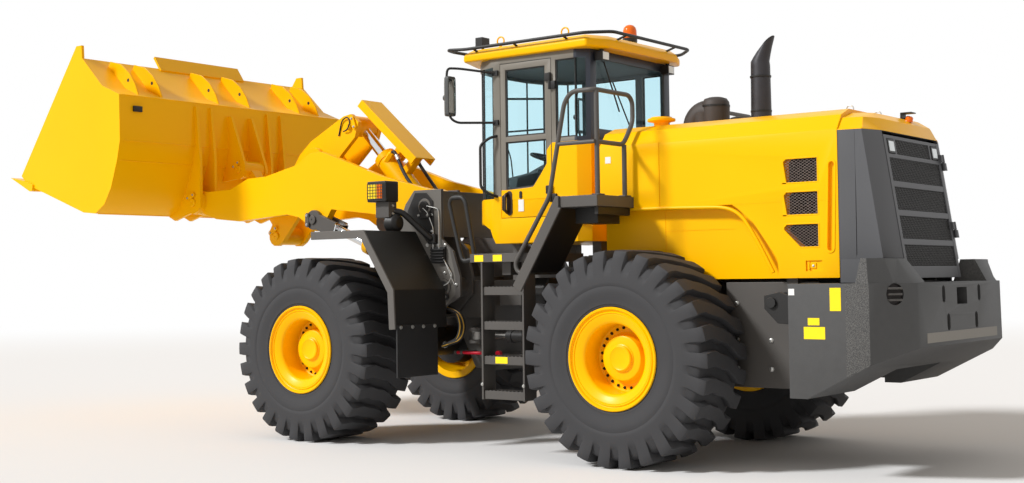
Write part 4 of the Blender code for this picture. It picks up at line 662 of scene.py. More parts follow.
for run in hose_runs:
    for near, far in ((run[0], run[1]), (run[-1], run[-2])):
        near, far = Vector(near), Vector(far)
        joints.append(turned([(-0.02, 0.03), (0.05, 0.03), (0.055, 0.026), (0.11, 0.026)], near, far, 12))
build("hinge_hose_fittings", joints, "front_body", zinc_steel, edge=0.002)
# The tanks' black is painted shade: it fills the dark gap under the deck.
tank = slab("x", [(0.52, 0.86), (1.12, 0.86), (1.17, 0.94), (1.17, 1.56), (1.10, 1.64), (0.52, 1.64)],
    TANK_REAR, TANK_FRONT)
build("frame_side_tanks", both([tank]), "rear_body", black_enamel, edge=0.02, steps=3)
tank_bolts = [(TANK_FRONT + 0.002, y, z) for y in (0.60, 1.08) for z in (0.94, 1.25, 1.56)]
build("tank_screws", both(screws(tank_bolts, (1, 0, 0))), "rear_body", zinc_steel, smooth=40)
shields = both([block((-3.47, -2.60), (0.78, 0.80), (0.68, 1.58)),
    block((-3.30, -3.20), (0.43, 0.785), (1.08, 1.16))])
build("rear_mud_shields", shields, "rear_body", grey_enamel, edge=0.004)
shield_bolts = [(x, 0.8003, z) for x in (-3.02, -2.70) for z in (0.84, 1.085, 1.40)]
build("mud_shield_screws", both(screws(shield_bolts, (0, 1, 0), 0.03)), "rear_body", zinc_steel, smooth=40)
lug_plate = [(-3.478, 1.22), (-3.478, 1.46), (-3.36, 1.46), (-3.24, 1.50), (-3.10, 1.47), (-3.10, 1.36),
    (-3.22, 1.24)]
lugs = [slab("y", lug_plate, y, y + 0.025) for y in (0.93, 1.05)]
lugs.append(turned([(0, 0.045), (0.20, 0.045)], (-3.17, 0.90, 1.41), (-3.17, 2, 1.41), 24))
build("transport_lock_lugs", both(lugs), "rear_body", black_enamel, edge=0.004)


# Boom and linkage
# Boom arms flame cut from thick plate, welded to a cross tube; cast bellcrank and link.  Each pin has a keeper
# plate with two screws; short hoses feed the far pins grease.
BUCKET_PIN = (4.62, 2.59)
LIFT_EYE = (2.622, 2.311)
BELL_PIVOT = (3.03, 3.02)
BELL_TOP = (2.50, 3.39)
BELL_LOW = (3.71, 2.17)
LINK_PIN = (4.39, 3.00)
for node in ("boom", "bellcrank", "bucket_link"):
    softened(node, yellow_enamel, 0.006)
# name, body, pin, outer face in y, turn of the keeper, radius
for name, body, pin, face, turn, radius in (
        ("bucket_pin", "bucket", BUCKET_PIN, 0.7005, 70, 0.05),
        ("link_pin", "bucket", LINK_PIN, 0.1855, 60, 0.045),
        ("bell_pivot_pin", "boom", BELL_PIVOT, 0.2615, -40, 0.06),
        ("bell_low_pin", "bellcrank", BELL_LOW, 0.2055, 60, 0.05),
        ("bell_top_pin", "bellcrank", BELL_TOP, 0.2055, 160, 0.05)):
    ends = [pin_end(pin, face, side, turn, radius) for side in (1, -1)]
    build(name + "_keepers", [p for plate, _ in ends for p in plate], body, yellow_enamel, edge=0.002)
    build(name + "_screws", [p for _, holding in ends for p in holding], body, zinc_steel, smooth=40)
grease = both([tube([(2.575, 0.228, 3.325), (2.505, 0.24, 3.335), (2.455, 0.24, 3.42), (2.50, 0.235, 3.49),
    (2.60, 0.222, 3.46), (2.635, 0.2145, 3.37), (2.66, 0.2145, 3.28)], 0.008, 0.05, 10)])
build("bellcrank_grease_hose", grease, "bellcrank", hose_rubber)


# Cylinders
# Double-acting hydraulic cylinders: tube, screwed gland and forged eyes in yellow, and rods of
# hard chrome, ground and polished, that mirror what is round them.  Hoses run along the tubes.
TILT_BASE = (1.06, 1.90)
FORK_LENGTH = 0.27
FORK_HALF = 0.0985
LIFT_Y = 0.568
PIPE_HEIGHT = 0.135
hard_chrome = surface("hard_chrome_plate", "DADDDF", "CDD0D3", 40, (0.06, 0.10), 0.02, 3, "chrome",
    Metallic=1.0)


def on_line(base, eye, distance, height=0.0, y=0.0):
    """A place along a cylinder's line, some height over it."""
    direction = (Vector(eye) - Vector(base)).normalized()
    spot = Vector(base) + direction * distance + Vector((-direction.y, direction.x)) * height
    return (spot.x, y, spot.y)


for side in ("left", "right"):
    sign = 1 if side == "left" else -1
    softened("lift_cylinder_%s_barrel" % side, yellow_enamel, 0.004,
        also=[(grey_enamel, lambda m, n: (Vector((m.x, m.z)) - Vector(LIFT_BASE)).length < 0.2)])
    eye = Vector((LIFT_EYE[0], sign * LIFT_Y, LIFT_EYE[1]))
    softened("lift_cylinder_%s_rod" % side, hard_chrome, 0.004,
        also=[(grey_enamel, lambda m, n: (m - eye).length < FORK_LENGTH)])
    ends = pin_end(LIFT_EYE, LIFT_Y + FORK_HALF, sign, 0, 0.05)
    build("lift_eye_keeper_" + side, ends[0], "lift_rod_" + side, grey_enamel, edge=0.002)
    build("lift_eye_screws_" + side, ends[1], "lift_rod_" + side, zinc_steel, smooth=40)
    run = [on_line(LIFT_BASE, LIFT_EYE, d, h, sign * LIFT_Y) for d, h in ((1.20, 0.10), (1.17, PIPE_HEIGHT),
        (1.0, PIPE_HEIGHT), (0.35, PIPE_HEIGHT), (0.25, 0.10))]
    build("lift_cylinder_pipe_" + side, [tube(run, 0.014, 0.05)], "lift_barrel_" + side, yellow_enamel)
    softened("steer_cylinder_%s_barrel" % side, black_enamel, 0.003)
    softened("steer_cylinder_%s_rod" % side, ground_steel, 0.003)
softened("tilt_cylinder_barrel", yellow_enamel, 0.004)
softened("tilt_cylinder_rod", hard_chrome, 0.004,
    also=[(yellow_enamel, lambda m, n: (m - Vector((BELL_TOP[0], 0, BELL_TOP[1]))).length < 0.15)])
GUARD_SPAN = (1.10, 2.17)            # distances from the base pin
GUARD_UNDER = (0.38, 0.29)           # its underside over the cylinder's axis, at each end
GUARD_HALF, GUARD_SHEET, GUARD_FALL = 0.165, 0.02, -0.08


def under_guard(distance):
    share = (distance - GUARD_SPAN[0]) / (GUARD_SPAN[1] - GUARD_SPAN[0])
    return GUARD_UNDER[0] + (GUARD_UNDER[1] - GUARD_UNDER[0]) * share


channel = [(-GUARD_HALF, GUARD_FALL), (-GUARD_HALF, GUARD_SHEET), (GUARD_HALF, GUARD_SHEET),
    (GUARD_HALF, GUARD_FALL), (GUARD_HALF - GUARD_SHEET, GUARD_FALL), (GUARD_HALF - GUARD_SHEET, 0),
    (GUARD_SHEET - GUARD_HALF, 0), (GUARD_SHEET - GUARD_HALF, GUARD_FALL)]
guard = [skin([[on_line(TILT_BASE, BELL_TOP, d, under_guard(d) + h,
    y) for y, h in channel] for d in GUARD_SPAN])]
for start in (1.16, 1.40):
    foot = [(start, 0.115), (start + 0.08, 0.115), (start + 0.08, under_guard(start + 0.08) + 0.01),
        (start, under_guard(start) + 0.01)]
    corners = [on_line(TILT_BASE, BELL_TOP, d, h) for d, h in foot]
    guard.append(slab("y", [(x, z) for x, _, z in corners], -0.05, 0.05))
build("tilt_cylinder_cover", guard, "tilt_barrel", yellow_enamel, ("tilt_cylinder_guard",), edge=0.006)
ports = []
for y in (0.085, -0.085):
    foot = on_line(TILT_BASE, BELL_TOP, 1.44, 0.03, y)
    top = on_line(TILT_BASE, BELL_TOP, 1.44, 0.20, y * 1.2)
    ports.append(turned([(0, 0.045), (0.12, 0.045), (0.125, 0.038), (0.15, 0.038)], foot, top, 6))
build("tilt_gland_ports", ports, "tilt_barrel", yellow_enamel, edge=0.003)
hoses, sleeves = [], []
for y, start in ((0.11, 1.44), (-0.11, 1.40)):
    run = [on_line(TILT_BASE, BELL_TOP, d, h, y * k) for d, h, k in ((start, 0.16, 1.0),
        (start - 0.02, 0.205, 1.1), (start - 0.10, 0.215, 1.35), (start - 0.35, 0.17, 1.7),
        (0.62, 0.14, 1.75), (0.30, 0.14, 1.6), (0.16, 0.10, 1.3))]
    hoses.append(tube(run, 0.019, 0.10, 14))
    sleeves.append(turned([(0, 0.026), (0.07, 0.026)], run[2], run[3], 12))
    sleeves.append(turned([(0, 0.026), (0.07, 0.026)], run[-1], run[-2], 12))
build("tilt_cylinder_hoses", hoses, "tilt_barrel", hose_rubber)
build("tilt_hose_fittings", sleeves, "tilt_barrel", zinc_steel, edge=0.002)


# Bucket
# A welded shell of rolled plate between thicker side plates, with a cutting edge, ribs and
# pin ears on its back.  Its weld beads show as fine raised lines, and a small blank plate is
# fixed to its back.
BUCKET_HALF = 1.78
GUSSET_Y = (0.24, 1.10, 1.44)
GUSSET_SHEET = 0.02
softened("bucket", yellow_enamel, 0.006)
beads = []
for x, z in ((4.575, 3.26), (4.592, 3.784), (4.627, 3.034), (5.03, 2.44), (6.25, 2.80)):
    beads.append(tube([(x, -BUCKET_HALF + 0.04, z), (x, BUCKET_HALF - 0.04, z)], 0.006, sides=8))
build("bucket_weld_beads", beads, "bucket", yellow_enamel)
gusset = [(4.66, 3.80), (4.73, 3.95), (4.84, 4.09), (4.99, 4.20), (5.19, 4.255), (5.22, 4.19), (4.90, 3.895)]
build("bucket_gussets", both([slab("y", gusset, y, y + GUSSET_SHEET) for y in GUSSET_Y]), "bucket",
    yellow_enamel, edge=0.003)
plate = [block((4.555, 4.58), (1.48, 1.60), (3.60, 3.665)),
    block((4.55, 4.556), (1.50, 1.58), (3.615, 3.65))]
build("bucket_blank_plate", plate, "bucket", black_enamel, edge=0.003)
holes = []
for y in GUSSET_Y:
    holes += both([turned([(0, 0.022), (0.0214, 0.022)], (4.85, y - 0.0007, 4.00), (4.85, y + 1, 4.00), 24)])
build("gusset_holes", holes, "bucket", black_enamel)


# Fenders
# Folded sheet over the front tyres, painted black as painted shade for its shadowed rear faces, with a grey lip
# along the outer edge and a rubber flap screwed on below.
lip_grey = surface("grey_lip_enamel", "625F5B", "595653", 400, (0.42, 0.5), 0.4, 8, "grey_paint",
    Specular_IOR_Level=0.3)
FENDER_PATH = [(1.72, 2.13), (0.99, 2.13), (0.60, 1.54), (0.58, 1.16)]
pair("fender_sheet", [slab("y", plate_path(FENDER_PATH, 0.02), 0.80, 1.566)], "front_body", black_enamel,
    ["front_fender"], edge=0.004)
lip = slab("y", plate_path([(1.722, 2.132), (0.988, 2.132), (0.598, 1.54), (0.578, 1.158)], 0.08), 1.558,
    1.58)
pair("fender_lip", [lip], "front_body", lip_grey, edge=0.006, steps=3)
flap = slab("y", [(0.575, 1.20), (0.592, 1.20), (0.592, 0.69), (0.575, 0.69)], 0.95, 1.55)
pair("fender_flap", [flap], "front_body", hose_rubber, edge=0.003)
spots = [(0.574, y, 1.175) for y in (1.0, 1.17, 1.33, 1.50)]
pair("fender_flap_screws", screws(spots, (-1, 0, 0), 0.026), "front_body", zinc_steel, smooth=40)


# Platforms
# Steel platforms over the rear tyres with a sloping front sheet, edged by a folded grey
# channel, and a guard of bent tube welded on.  The top is raised-pattern plate.
RAIL_Y = 1.462
RAIL_RADIUS = 0.021
RAIL_TOP, RAIL_MID = 3.29, 2.83
PLATFORM_TOP = 2.36
DECK_TOP = 1.87
DECK_EDGE_Y = 1.43
GRAB_Y = 1.40
deck_box = [block((-1.73, -1.304), (0.902, 1.498), (PLATFORM_TOP - 0.10, PLATFORM_TOP))]
studs = []
for i in range(7):
    for j in range(10):
        x, y = -1.70 + i * 0.058, 0.94 + j * 0.058
        direction = 45 if (i + j) % 2 else -45
        studs.append(slab("z", capsule((x, y), 0.034, 0.009, direction, 3), PLATFORM_TOP - 0.001,
            PLATFORM_TOP + 0.0025))
slope = [slab("y", plate_path([(-1.33, 2.362), (-1.30, 2.362), (-0.8906, 1.70)], -0.025), 0.925, 1.505)]
edge_channel = [slab("y", plate_path([(-1.33, 2.364), (-1.298, 2.364), (-0.808, 1.57)], -0.105), 1.497,
    1.521)]
rail_main = [(-0.90, RAIL_Y, 1.675), (-0.82, RAIL_Y, 1.70), (-0.80, RAIL_Y, 1.78), (-1.19, RAIL_Y, 2.36),
    (-1.29, RAIL_Y, RAIL_MID), (-1.37, RAIL_Y, 3.20), (-1.45, RAIL_Y, RAIL_TOP), (-1.69, RAIL_Y, RAIL_TOP),
    (-1.69, 0.90, RAIL_TOP), (-1.69, 0.84, 3.23), (-1.69, 0.84, 3.05), (-1.69, 0.94, 2.91),
    (-1.69, 1.01, RAIL_MID), (-1.69, RAIL_Y - 0.03, RAIL_MID)]
rails = [tube(rail_main, RAIL_RADIUS, 0.06, 14),
    tube([(-1.295, RAIL_Y, RAIL_MID), (-1.69, RAIL_Y, RAIL_MID)], 0.019, sides=14),
    tube([(-1.69, RAIL_Y - 0.035, 2.33), (-1.69, RAIL_Y - 0.035, RAIL_TOP)], 0.0225, sides=14),
    tube([(-1.69, 0.99, 2.33), (-1.69, 0.99, RAIL_MID)], 0.0225, sides=14)]
feet = [block((-1.73, -1.65), (y - 0.05, y + 0.05),
    (PLATFORM_TOP, PLATFORM_TOP + 0.012)) for y in (RAIL_Y - 0.045, 0.99)]
under = [block((-1.60, -1.36), (0.94, 1.30), (2.12, 2.262)),
    block((-1.70, -1.66), (0.92, 1.44), (2.19, 2.262))]
pair("platform_box", deck_box + feet, "rear_body", grey_enamel, ["platform"], edge=0.006)
pair("platform_studs", studs, "rear_body", grey_enamel)
# The sloping sheet and the boxes under the deck are painted black as painted shade for their shadowed rear and
# under faces.
pair("platform_slope", slope + under, "rear_body", black_enamel, edge=0.005)
pair("platform_edge", edge_channel, "rear_body", grey_enamel, edge=0.006, steps=3)
pair("platform_rail", rails, "rear_body", grey_enamel)


# Deck and ladders
# A plate deck under the cab door and a hung ladder with folded treads, welded in grey; a bent
# grab rail rises in front of the deck.  Two blank labels mark the deck's edge and one the ladder.
deck = [block((-0.92, -0.24), (0.54, 1.43), (DECK_TOP - 0.08, DECK_TOP))]
for x in (-0.86, -0.382):
    deck.append(block((x, x + 0.012), (1.24, 1.42), (0.52, 1.86)))
    deck.append(block((x - 0.004, x + 0.016), (1.415, 1.428), (0.52, 1.80)))
for i in range(4):
    top = 0.60 + 0.32 * i
    deck.append(slab("x", [(1.246, top - 0.01), (1.246, top), (1.414, top), (1.414, top - 0.075),
        (1.402, top - 0.075), (1.402, top - 0.01)], -0.859, -0.371))
    for j in range(11):
        deck.append(block((-0.84 + j * 0.043, -0.822 + j * 0.043), (1.26, 1.40), (top - 0.002, top + 0.006)))
grab = [tube([(x, GRAB_Y, z) for x, z in ((-0.30, 1.83), (-0.13, 1.80), (-0.08, 1.95), (0.03, 2.36),
    (0.0, 2.41), (-0.13, 2.41), (-0.17, 2.36), (-0.27, 1.85))], RAIL_RADIUS, 0.05, 14)]
labels = [block((x, x + 0.105), (DECK_EDGE_Y, DECK_EDGE_Y + 0.0025), (1.797, 1.857)) for x in (-0.40, -0.62)]
labels.append(block((-0.66, -0.52), (1.4141, 1.4165), (0.856, 0.916)))
pair("deck_plate", deck, "rear_body", grey_enamel, ["deck_ladder"], edge=0.002)
pair("deck_grab_rail", grab, "rear_body", black_enamel)
pair("deck_blank_labels", labels, "rear_body", blank_label)
spots = [(x, DECK_EDGE_Y, 0.66) for x in (-0.854, -0.376)]
pair("ladder_screws", screws(spots, (0, 1, 0), 0.022), "rear_body", zinc_steel, smooth=40)


# Head lamps
# A turn signal and a clear lens in a sheet box on a bent tube from the tower, behind a black
# wire guard, with a grey bracket below and a round driving lamp under it.
amber_lens = surface("moulded_amber_polycarbonate", "F27400", "E06400", 30, (0.15, 0.22), 0.05, 4, "amber",
    Specular_IOR_Level=0.3)
clear_lens = surface("clear_lamp_lens", "E9F1F5", "D5E0E6", 12, (0.06, 0.12), 0.6, 5, "chrome",
    Coat_Weight=0.6)
lamp_box = [block((1.04, 1.30), (1.00, 1.195), (2.43, 2.64))]
lamp_bracket = [block((1.06, 1.24), (1.01, 1.13), (2.27, 2.432))]
lamp_arm = [tube([(1.12, 1.06, 2.34), (1.02, 0.98, 2.33), (0.84, 0.80, 2.09), (0.81, 0.757, 2.05)], 0.032,
    0.05, 14), block((0.76, 0.86), (0.7208, 0.7708), (2.00, 2.10))]
low_lamp = [turned([(0, 0.05), (0.03, 0.092), (0.11, 0.106), (0.13, 0.106), (0.135, 0.095)],
    (1.00, 1.03, 2.215), (2, 1.03, 2.215), 40)]
wire = [[(1.065 + 0.037 * i, 1.204, 2.455), (1.065 + 0.037 * i, 1.204, 2.615)] for i in range(7)]
wire += [[(1.06, 1.204, 2.46 + 0.03 * i), (1.29, 1.204, 2.46 + 0.03 * i)] for i in range(6)]
wire += [[(1.304, 1.02 + 0.03 * i, 2.455), (1.304, 1.02 + 0.03 * i, 2.615)] for i in range(6)]
amber = [block((1.09, 1.16), (1.19, 1.199), (2.46, 2.61)), block((1.297, 1.303), (1.02, 1.18), (2.45, 2.62))]
pair("head_lamp_box", lamp_box + low_lamp + lamp_arm, "front_body", black_enamel, ["headlamp"], edge=0.012,
    steps=3)
pair("head_lamp_bracket", lamp_bracket, "front_body", grey_enamel, edge=0.004)
pair("head_lamp_lens", amber, "front_body", amber_lens, edge=0.003)
pair("head_lamp_clear_lens", [block((1.165, 1.285), (1.19, 1.198), (2.46, 2.61))], "front_body", blank_label,
    edge=0.003)
pair("head_lamp_guard", [tube(path, 0.0022, sides=6) for path in wire], "front_body", black_enamel)
spots = [(1.0595, 1.07, z) for z in (2.31, 2.39)]
pair("head_lamp_screws", screws(spots, (-1, 0, 0), 0.02), "front_body", zinc_steel, smooth=40)


# Cab shell
# A welded cab: yellow lower panels, window frames in a warm grey, the rear posts near black.
# The inner faces are lined in dark moulded plastic.  Black hinges and grab loop stand outside.
CAB_MIDDLE = Vector((-0.38, 0, 2.95))
CAB_HALF = 0.80
SILL_Z = 2.93
CORNER_SILL_Z = 2.44
GLASS_FOOT, GLASS_HEAD = 2.42, 3.72
REAR_POST_X, FRONT_POST_X = -1.015, -0.135
frame_grey = surface("warm_grey_enamel", "7B766D", "716C63", 300, (0.42, 0.5), 0.4, 8, "grey_paint",
    Specular_IOR_Level=0.3)
post_blue = surface("dark_post_enamel", "232936", "1B202B", 300, (0.35, 0.45), 0.3, 8, "black_paint")
lining = surface("grained_grey_plastic", "55585A", "4A4C4E", 60, (0.6, 0.75), 0.5, 3, "black_paint")


def lined(middle, normal):
    """True on the faces that look into the cab."""
    level = Vector((CAB_MIDDLE.x - middle.x, -middle.y, (CAB_MIDDLE.z - middle.z) * 0.5))
    return level.normalized().dot(normal) > 0.45


def framed(middle, normal):
    """True where the shell is window frame: above the sill, and in front of the door."""
    if abs(middle.y) > CAB_HALF + 0.002:
        return False
    return middle.z > SILL_Z or (middle.x > FRONT_POST_X and middle.z > CORNER_SILL_Z)


windows = [block((0.31, 0.52), (-0.285, 0.285), (2.418, 3.716))]
for corner in ([(0.42, 0.26), (0.42, 0.50), (0.33, 0.60), (0.24, 0.47), (0.26, 0.26)],
               [(0.36, 0.56), (0.11, 0.82), (0.04, 0.66), (0.22, 0.48)],
               [(-0.045, 0.83), (0.14, 0.80), (0.17, 0.74), (0.10, 0.64), (-0.045, 0.69)]):
    windows += both([slab("z", corner, GLASS_FOOT, GLASS_HEAD)])
windows += both([slab("z", [(-0.02, 0.8015), (0.141, 0.7415), (0.3212, 0.5412), (0.3785, 0.301),
    (0.50, 0.30), (0.50, 0.95), (-0.02, 0.95)], 1.9, 2.41)])
windows += both([slab("z", [(-0.99, 0.84), (-1.11, 0.84), (-1.115, 0.74), (-1.08, 0.66), (-0.99, 0.70)],
    2.972, 3.718)])
grab_loop = [tube([(-0.085, 0.79, 3.04), (-0.05, 0.87, 3.02), (0.03, 0.92, 2.95), (0.03, 0.92, 2.53),
    (-0.05, 0.87, 2.46), (-0.085, 0.79, 2.44)], 0.014, 0.04, 12)]
build("cab_grab_loop", grab_loop, "rear_body", black_enamel)
softened("cab_body", yellow_enamel, 0.008, grooves=windows,
    cuts=[((0, 0, SILL_Z), (0, 0, 1)), ((0, 0, CORNER_SILL_Z), (0, 0, 1)), ((REAR_POST_X, 0, 0), (1, 0, 0)),
    ((FRONT_POST_X, 0, 0), (1, 0, 0))],
    also=[(frame_grey, framed), (post_blue, lambda m, n: framed(m, n) and m.x < REAR_POST_X),
    (lining, lined), (black_enamel, lambda m, n: abs(m.y) > CAB_HALF + 0.002)])
DOOR_SPLIT_Z = 2.50
softened("cab_door", yellow_enamel, 0.004, cuts=[((0, 0, DOOR_SPLIT_Z), (0, 0, 1))],
    also=[(frame_grey, lambda m, n: m.z > DOOR_SPLIT_Z),
    (yellow_enamel, lambda m, n: m.z < 2.72 and m.x < -0.53 and n.y > 0.5),
    (black_enamel, lambda m, n: m.y > CAB_HALF + 0.002), (lining, lambda m, n: n.y < -0.5)])
corner_fill = [slab("y", [(-0.742, 2.40), (-0.742, 2.92), (-0.69, 2.86), (-0.69, 2.735), (-0.53, 2.515),
    (-0.14, 2.495), (-0.14, 2.40)], 0.8002, 0.8032)]
build("door_lower_skin", corner_fill, "cab_door", yellow_enamel, edge=0.001)


# Cab glass
# Toughened safety glass with a faint blue tint, bedded in black rubber, with near-black posts
# where two lights meet.  The wipers are black enamelled steel.
GLASS_THICK = 0.006
SIDE_GLASS_Y = 0.78
DOOR_GLASS_Y = 0.782
glass, tree, shader, place = fresh("tinted_safety_glass", "chrome")
wavy = add(tree, "ShaderNodeTexNoise", {"Vector": place, "Scale": 1.5})
tint = add(tree, "ShaderNodeMix", {0: wavy.outputs["Fac"], MIX_A: linear("DDF4FA"), MIX_B: linear("E4F7FB")},
    data_type="RGBA")
tree.links.new(tint.outputs[MIX_RESULT], shader.inputs["Base Color"])
shader.inputs["Roughness"].default_value = 0.0
shader.inputs["IOR"].default_value = 1.15
shader.inputs["Transmission Weight"].default_value = 1.0
seal_rubber = surface("window_seal_rubber", "171717", "101010", 20, (0.6, 0.75), 0.3, 3, "rubber")


def shrunk(outline, width):
    """A convex outline drawn in by a width."""
    points = [Vector(p) for p in outline]
    area = sum(a.x * b.y - b.x * a.y for a, b in zip(points, points[1:] + points[:1]))
    sign = 1 if area > 0 else -1
    result = []
    for before, here, after in zip(points[-1:] + points[:-1], points, points[1:] + points[:1]):
        first, second = (here - before).normalized(), (after - here).normalized()
        normals = [Vector((-d.y, d.x)) * sign for d in (first, second)]
        half = (normals[0] + normals[1]).normalized()
        result.append(tuple(here + half * width / max(0.3, half.dot(normals[0]))))
    return result


def pane(outline, y):
    """A light in a side wall, with its rubber seal round it."""
    sheet = slab("y", shrunk(outline, -0.003), y - GLASS_THICK / 2, y + GLASS_THICK / 2)
    inner = shrunk(outline, 0.014)
    rows = [[(x, y + lift, z) for x, z in ring] for ring, lift in ((outline, -0.012), (outline, 0.012),
        (inner, 0.007), (inner, -0.007), (outline, -0.012))]
    return sheet, skin(rows, caps=False)


def corner_pane(start, end, z0, z1, inset=0.022):
    """A light in a slanting wall, between two plan points of its outer face."""
    start, end = Vector(start), Vector(end)
    normal = Vector((end.y - start.y, start.x - end.x)).normalized()
    if normal.dot(start) > 0:
        normal = -normal
    near, far = normal * inset, normal * (inset + GLASS_THICK)
    return slab("z", [tuple(start + near), tuple(end + near), tuple(end + far), tuple(start + far)], z0, z1)


door_upper = [(-0.675, 3.02), (-0.195, 3.02), (-0.195, 3.68), (-0.675, 3.68)]
door_lower = [(-0.685, 2.97), (-0.195, 2.97), (-0.195, 2.50), (-0.525, 2.52), (-0.685, 2.72)]
rear_side = [(-1.03, 2.97), (-0.80, 2.97), (-0.80, 3.72), (-1.03, 3.72)]
wide_side = [(-0.72, 2.92), (-0.12, 2.92), (-0.12, 3.72), (-0.72, 3.72)]
door_lights = [pane(door_upper, DOOR_GLASS_Y), pane(door_lower, DOOR_GLASS_Y)]
build("door_glass", [p[0] for p in door_lights], "cab_door", glass)
build("door_seals", [p[1] for p in door_lights], "cab_door", seal_rubber)
side_lights = [pane(rear_side, SIDE_GLASS_Y), pane(rear_side, -SIDE_GLASS_Y), pane(wide_side, -SIDE_GLASS_Y)]
corners = [corner_pane(start, end, low, GLASS_HEAD) for start, end, low in (((-0.045, 0.803), (0.135, 0.744),
    GLASS_FOOT), ((0.145, 0.735), (0.318, 0.543), GLASS_FOOT), ((0.324, 0.53), (0.377, 0.30), GLASS_FOOT),
    ((-1.036, 0.803), (-1.112, 0.748), 2.97))]
front_rear = [block((0.35, 0.356), (-0.283, 0.283), (2.417, 3.723)),
    block((-1.128, -1.122), (-0.623, 0.623), (3.047, 3.723))]
build("cab_glass", [p[0] for p in side_lights] + both(corners) + front_rear, "rear_body", glass)
posts = both([block((x - 0.007, x + 0.007), (y - 0.007, y + 0.007),
    (2.415, 3.725)) for x, y in ((0.125, 0.728), (0.305, 0.528), (0.354, 0.292))])
build("cab_seals", [p[1] for p in side_lights] + posts, "rear_body", seal_rubber)
wiper = [tube([(-1.165, 0.0, 3.03), (-1.17, 0.05, 3.08), (-1.165, 0.36, 3.52)], 0.007, 0.03, 8),
    tube([(-1.16, 0.24, 3.24), (-1.16, 0.50, 3.70)], 0.008, sides=8),
    turned([(0, 0.03), (0.04, 0.025)], (-1.15, 0.0, 3.03), (-2, 0.0, 3.03), 20),
    tube([(0.385, -0.10, 2.47), (0.395, -0.05, 2.9), (0.39, 0.12, 3.2)], 0.007, 0.05, 8),
    tube([(0.384, 0.06, 2.75), (0.384, 0.16, 3.5)], 0.008, sides=8)]
build("window_wipers", wiper, "rear_body", black_enamel)


# Door fittings
# A brown-black moulded pull, a key lock, a blank white plate beside it and two bars inside the
# door; a second blank plate sits on the hood's front panel.
DOOR_FACE = 0.803
pull = [tube([(-0.215, 0.80, 2.27), (-0.215, 0.852, 2.29), (-0.215, 0.852, 2.45), (-0.215, 0.80, 2.47)],
    0.013, 0.03, 12), slab("y", capsule((-0.235, 2.37), 0.24, 0.07, 90), DOOR_FACE, 0.808)]
build("door_pull", pull, "cab_door", surface("brown_black_plastic", "3A2418", "2C1B12", 30, (0.35, 0.5), 0.3,
    4, "black_paint"), edge=0.002)
build("door_lock", [slab("y", capsule((-0.375, 2.445), 0.075, 0.03, 90), DOOR_FACE, 0.812)], "cab_door",
    black_enamel, edge=0.002)
build("door_blank_plate", [block((-0.41, -0.345), (DOOR_FACE, 0.8055), (2.285, 2.40))], "cab_door",
    pale_label)
bar = [tube([(-0.66, 0.755, 3.36), (-0.20, 0.755, 3.40)], 0.011, sides=12),
    tube([(-0.66, 0.755, 3.07), (-0.20, 0.755, 3.075)], 0.009)]
build("door_inner_bars", bar, "cab_door", black_enamel)
build("hood_panel_labels", [block((-1.485, -1.425), (0.9003, 0.9025), (2.68, 2.74))], "rear_body",
    pale_label)


# Cab roof
# A pressed roof panel with a raised middle, a black guard tube round it, lifting rings, work
# lamps front and rear, and the beacon on its stem.
ROOF_TOP = 3.9306
BEACON = (-0.95, -0.30, ROOF_TOP)
RING_RADIUS = 0.042
softened("cab_roof", yellow_enamel, 0.022, 3)
rail = [(0.42, 0.42, 3.93), (0.53, 0.46, 3.95), (0.545, 0.70, 3.95), (0.47, 0.88, 3.94),
    (0.25, 0.872, 3.925), (-1.20, 0.885, 3.925), (-1.40, 0.70, 3.935), (-1.40, -0.70, 3.935),
    (-1.20, -0.885, 3.925), (0.25, -0.872, 3.925), (0.47, -0.88, 3.94), (0.545, -0.70, 3.95),
    (0.53, -0.46, 3.95), (0.42, -0.42, 3.93)]
stays = [tube([(x, 0.80, 3.90), (x, 0.875, 3.925)], 0.011, sides=10) for x in (-0.95, -0.35, 0.15)]
stays += [tube([(-1.28, y, 3.90), (-1.40, y, 3.935)], 0.011, sides=10) for y in (0.45, -0.45)]
build("roof_guard_tube", [tube(rail, 0.016, 0.06, 12)] + stays + mirror(stays[:3]), "rear_body",
    black_enamel)
ring_path = [(RING_RADIUS * math.cos(a), 0.0,
    RING_RADIUS * math.sin(a)) for a in [2 * math.pi * i / 24 for i in range(25)]]
rings = []
for x, y in ((-0.10, 0.74), (-0.88, 0.74)):
    rings.append(moved(tube(ring_path, 0.008, sides=10, closed=True),
        Matrix.Translation((x, y, ROOF_TOP + 0.055))))
    rings.append(upright([(0, 0.016), (0.02, 0.012)], (x, y, ROOF_TOP - 0.004), 16))
build("lifting_rings", both(rings), "rear_body", yellow_enamel)
lamp = [block((-0.05, 0.04), (-0.06, 0.06), (-0.045, 0.045)),
    tube([(-0.01, 0, -0.09), (-0.01, 0, -0.03)], 0.014)]
lens = [block((0.039, 0.045), (-0.05, 0.05), (-0.036, 0.036))]
lamp_spots = [Matrix.Translation((0.20, y, ROOF_TOP + 0.085)) for y in (0.66, -0.66)]
half_turn = Matrix.Rotation(math.pi, 4, "Z")
rear_spots = [Matrix.Translation((-1.21, y, 3.735)) @ half_turn for y in (0.60, -0.60)]
cases = [moved(p, m) for m in lamp_spots for p in lamp] + [moved(lamp[0], m) for m in rear_spots]
build("roof_work_lamps", cases, "rear_body", black_enamel, edge=0.008, steps=3)
brackets = [block((-1.215, -1.195), (y - 0.02, y + 0.02), (3.77, 3.82)) for y in (0.60, -0.60)]
build("rear_lamp_brackets", brackets, "rear_body", black_enamel)
build("roof_work_lamp_lenses", [moved(p, m) for m in lamp_spots + rear_spots for p in lens], "rear_body",
    clear_lens, edge=0.003)
beacon = upright([(0.118, 0.070), (0.13, 0.072), (0.20, 0.069), (0.228, 0.060), (0.248, 0.042),
    (0.257, 0.02), (0.26, 0.0)], BEACON)
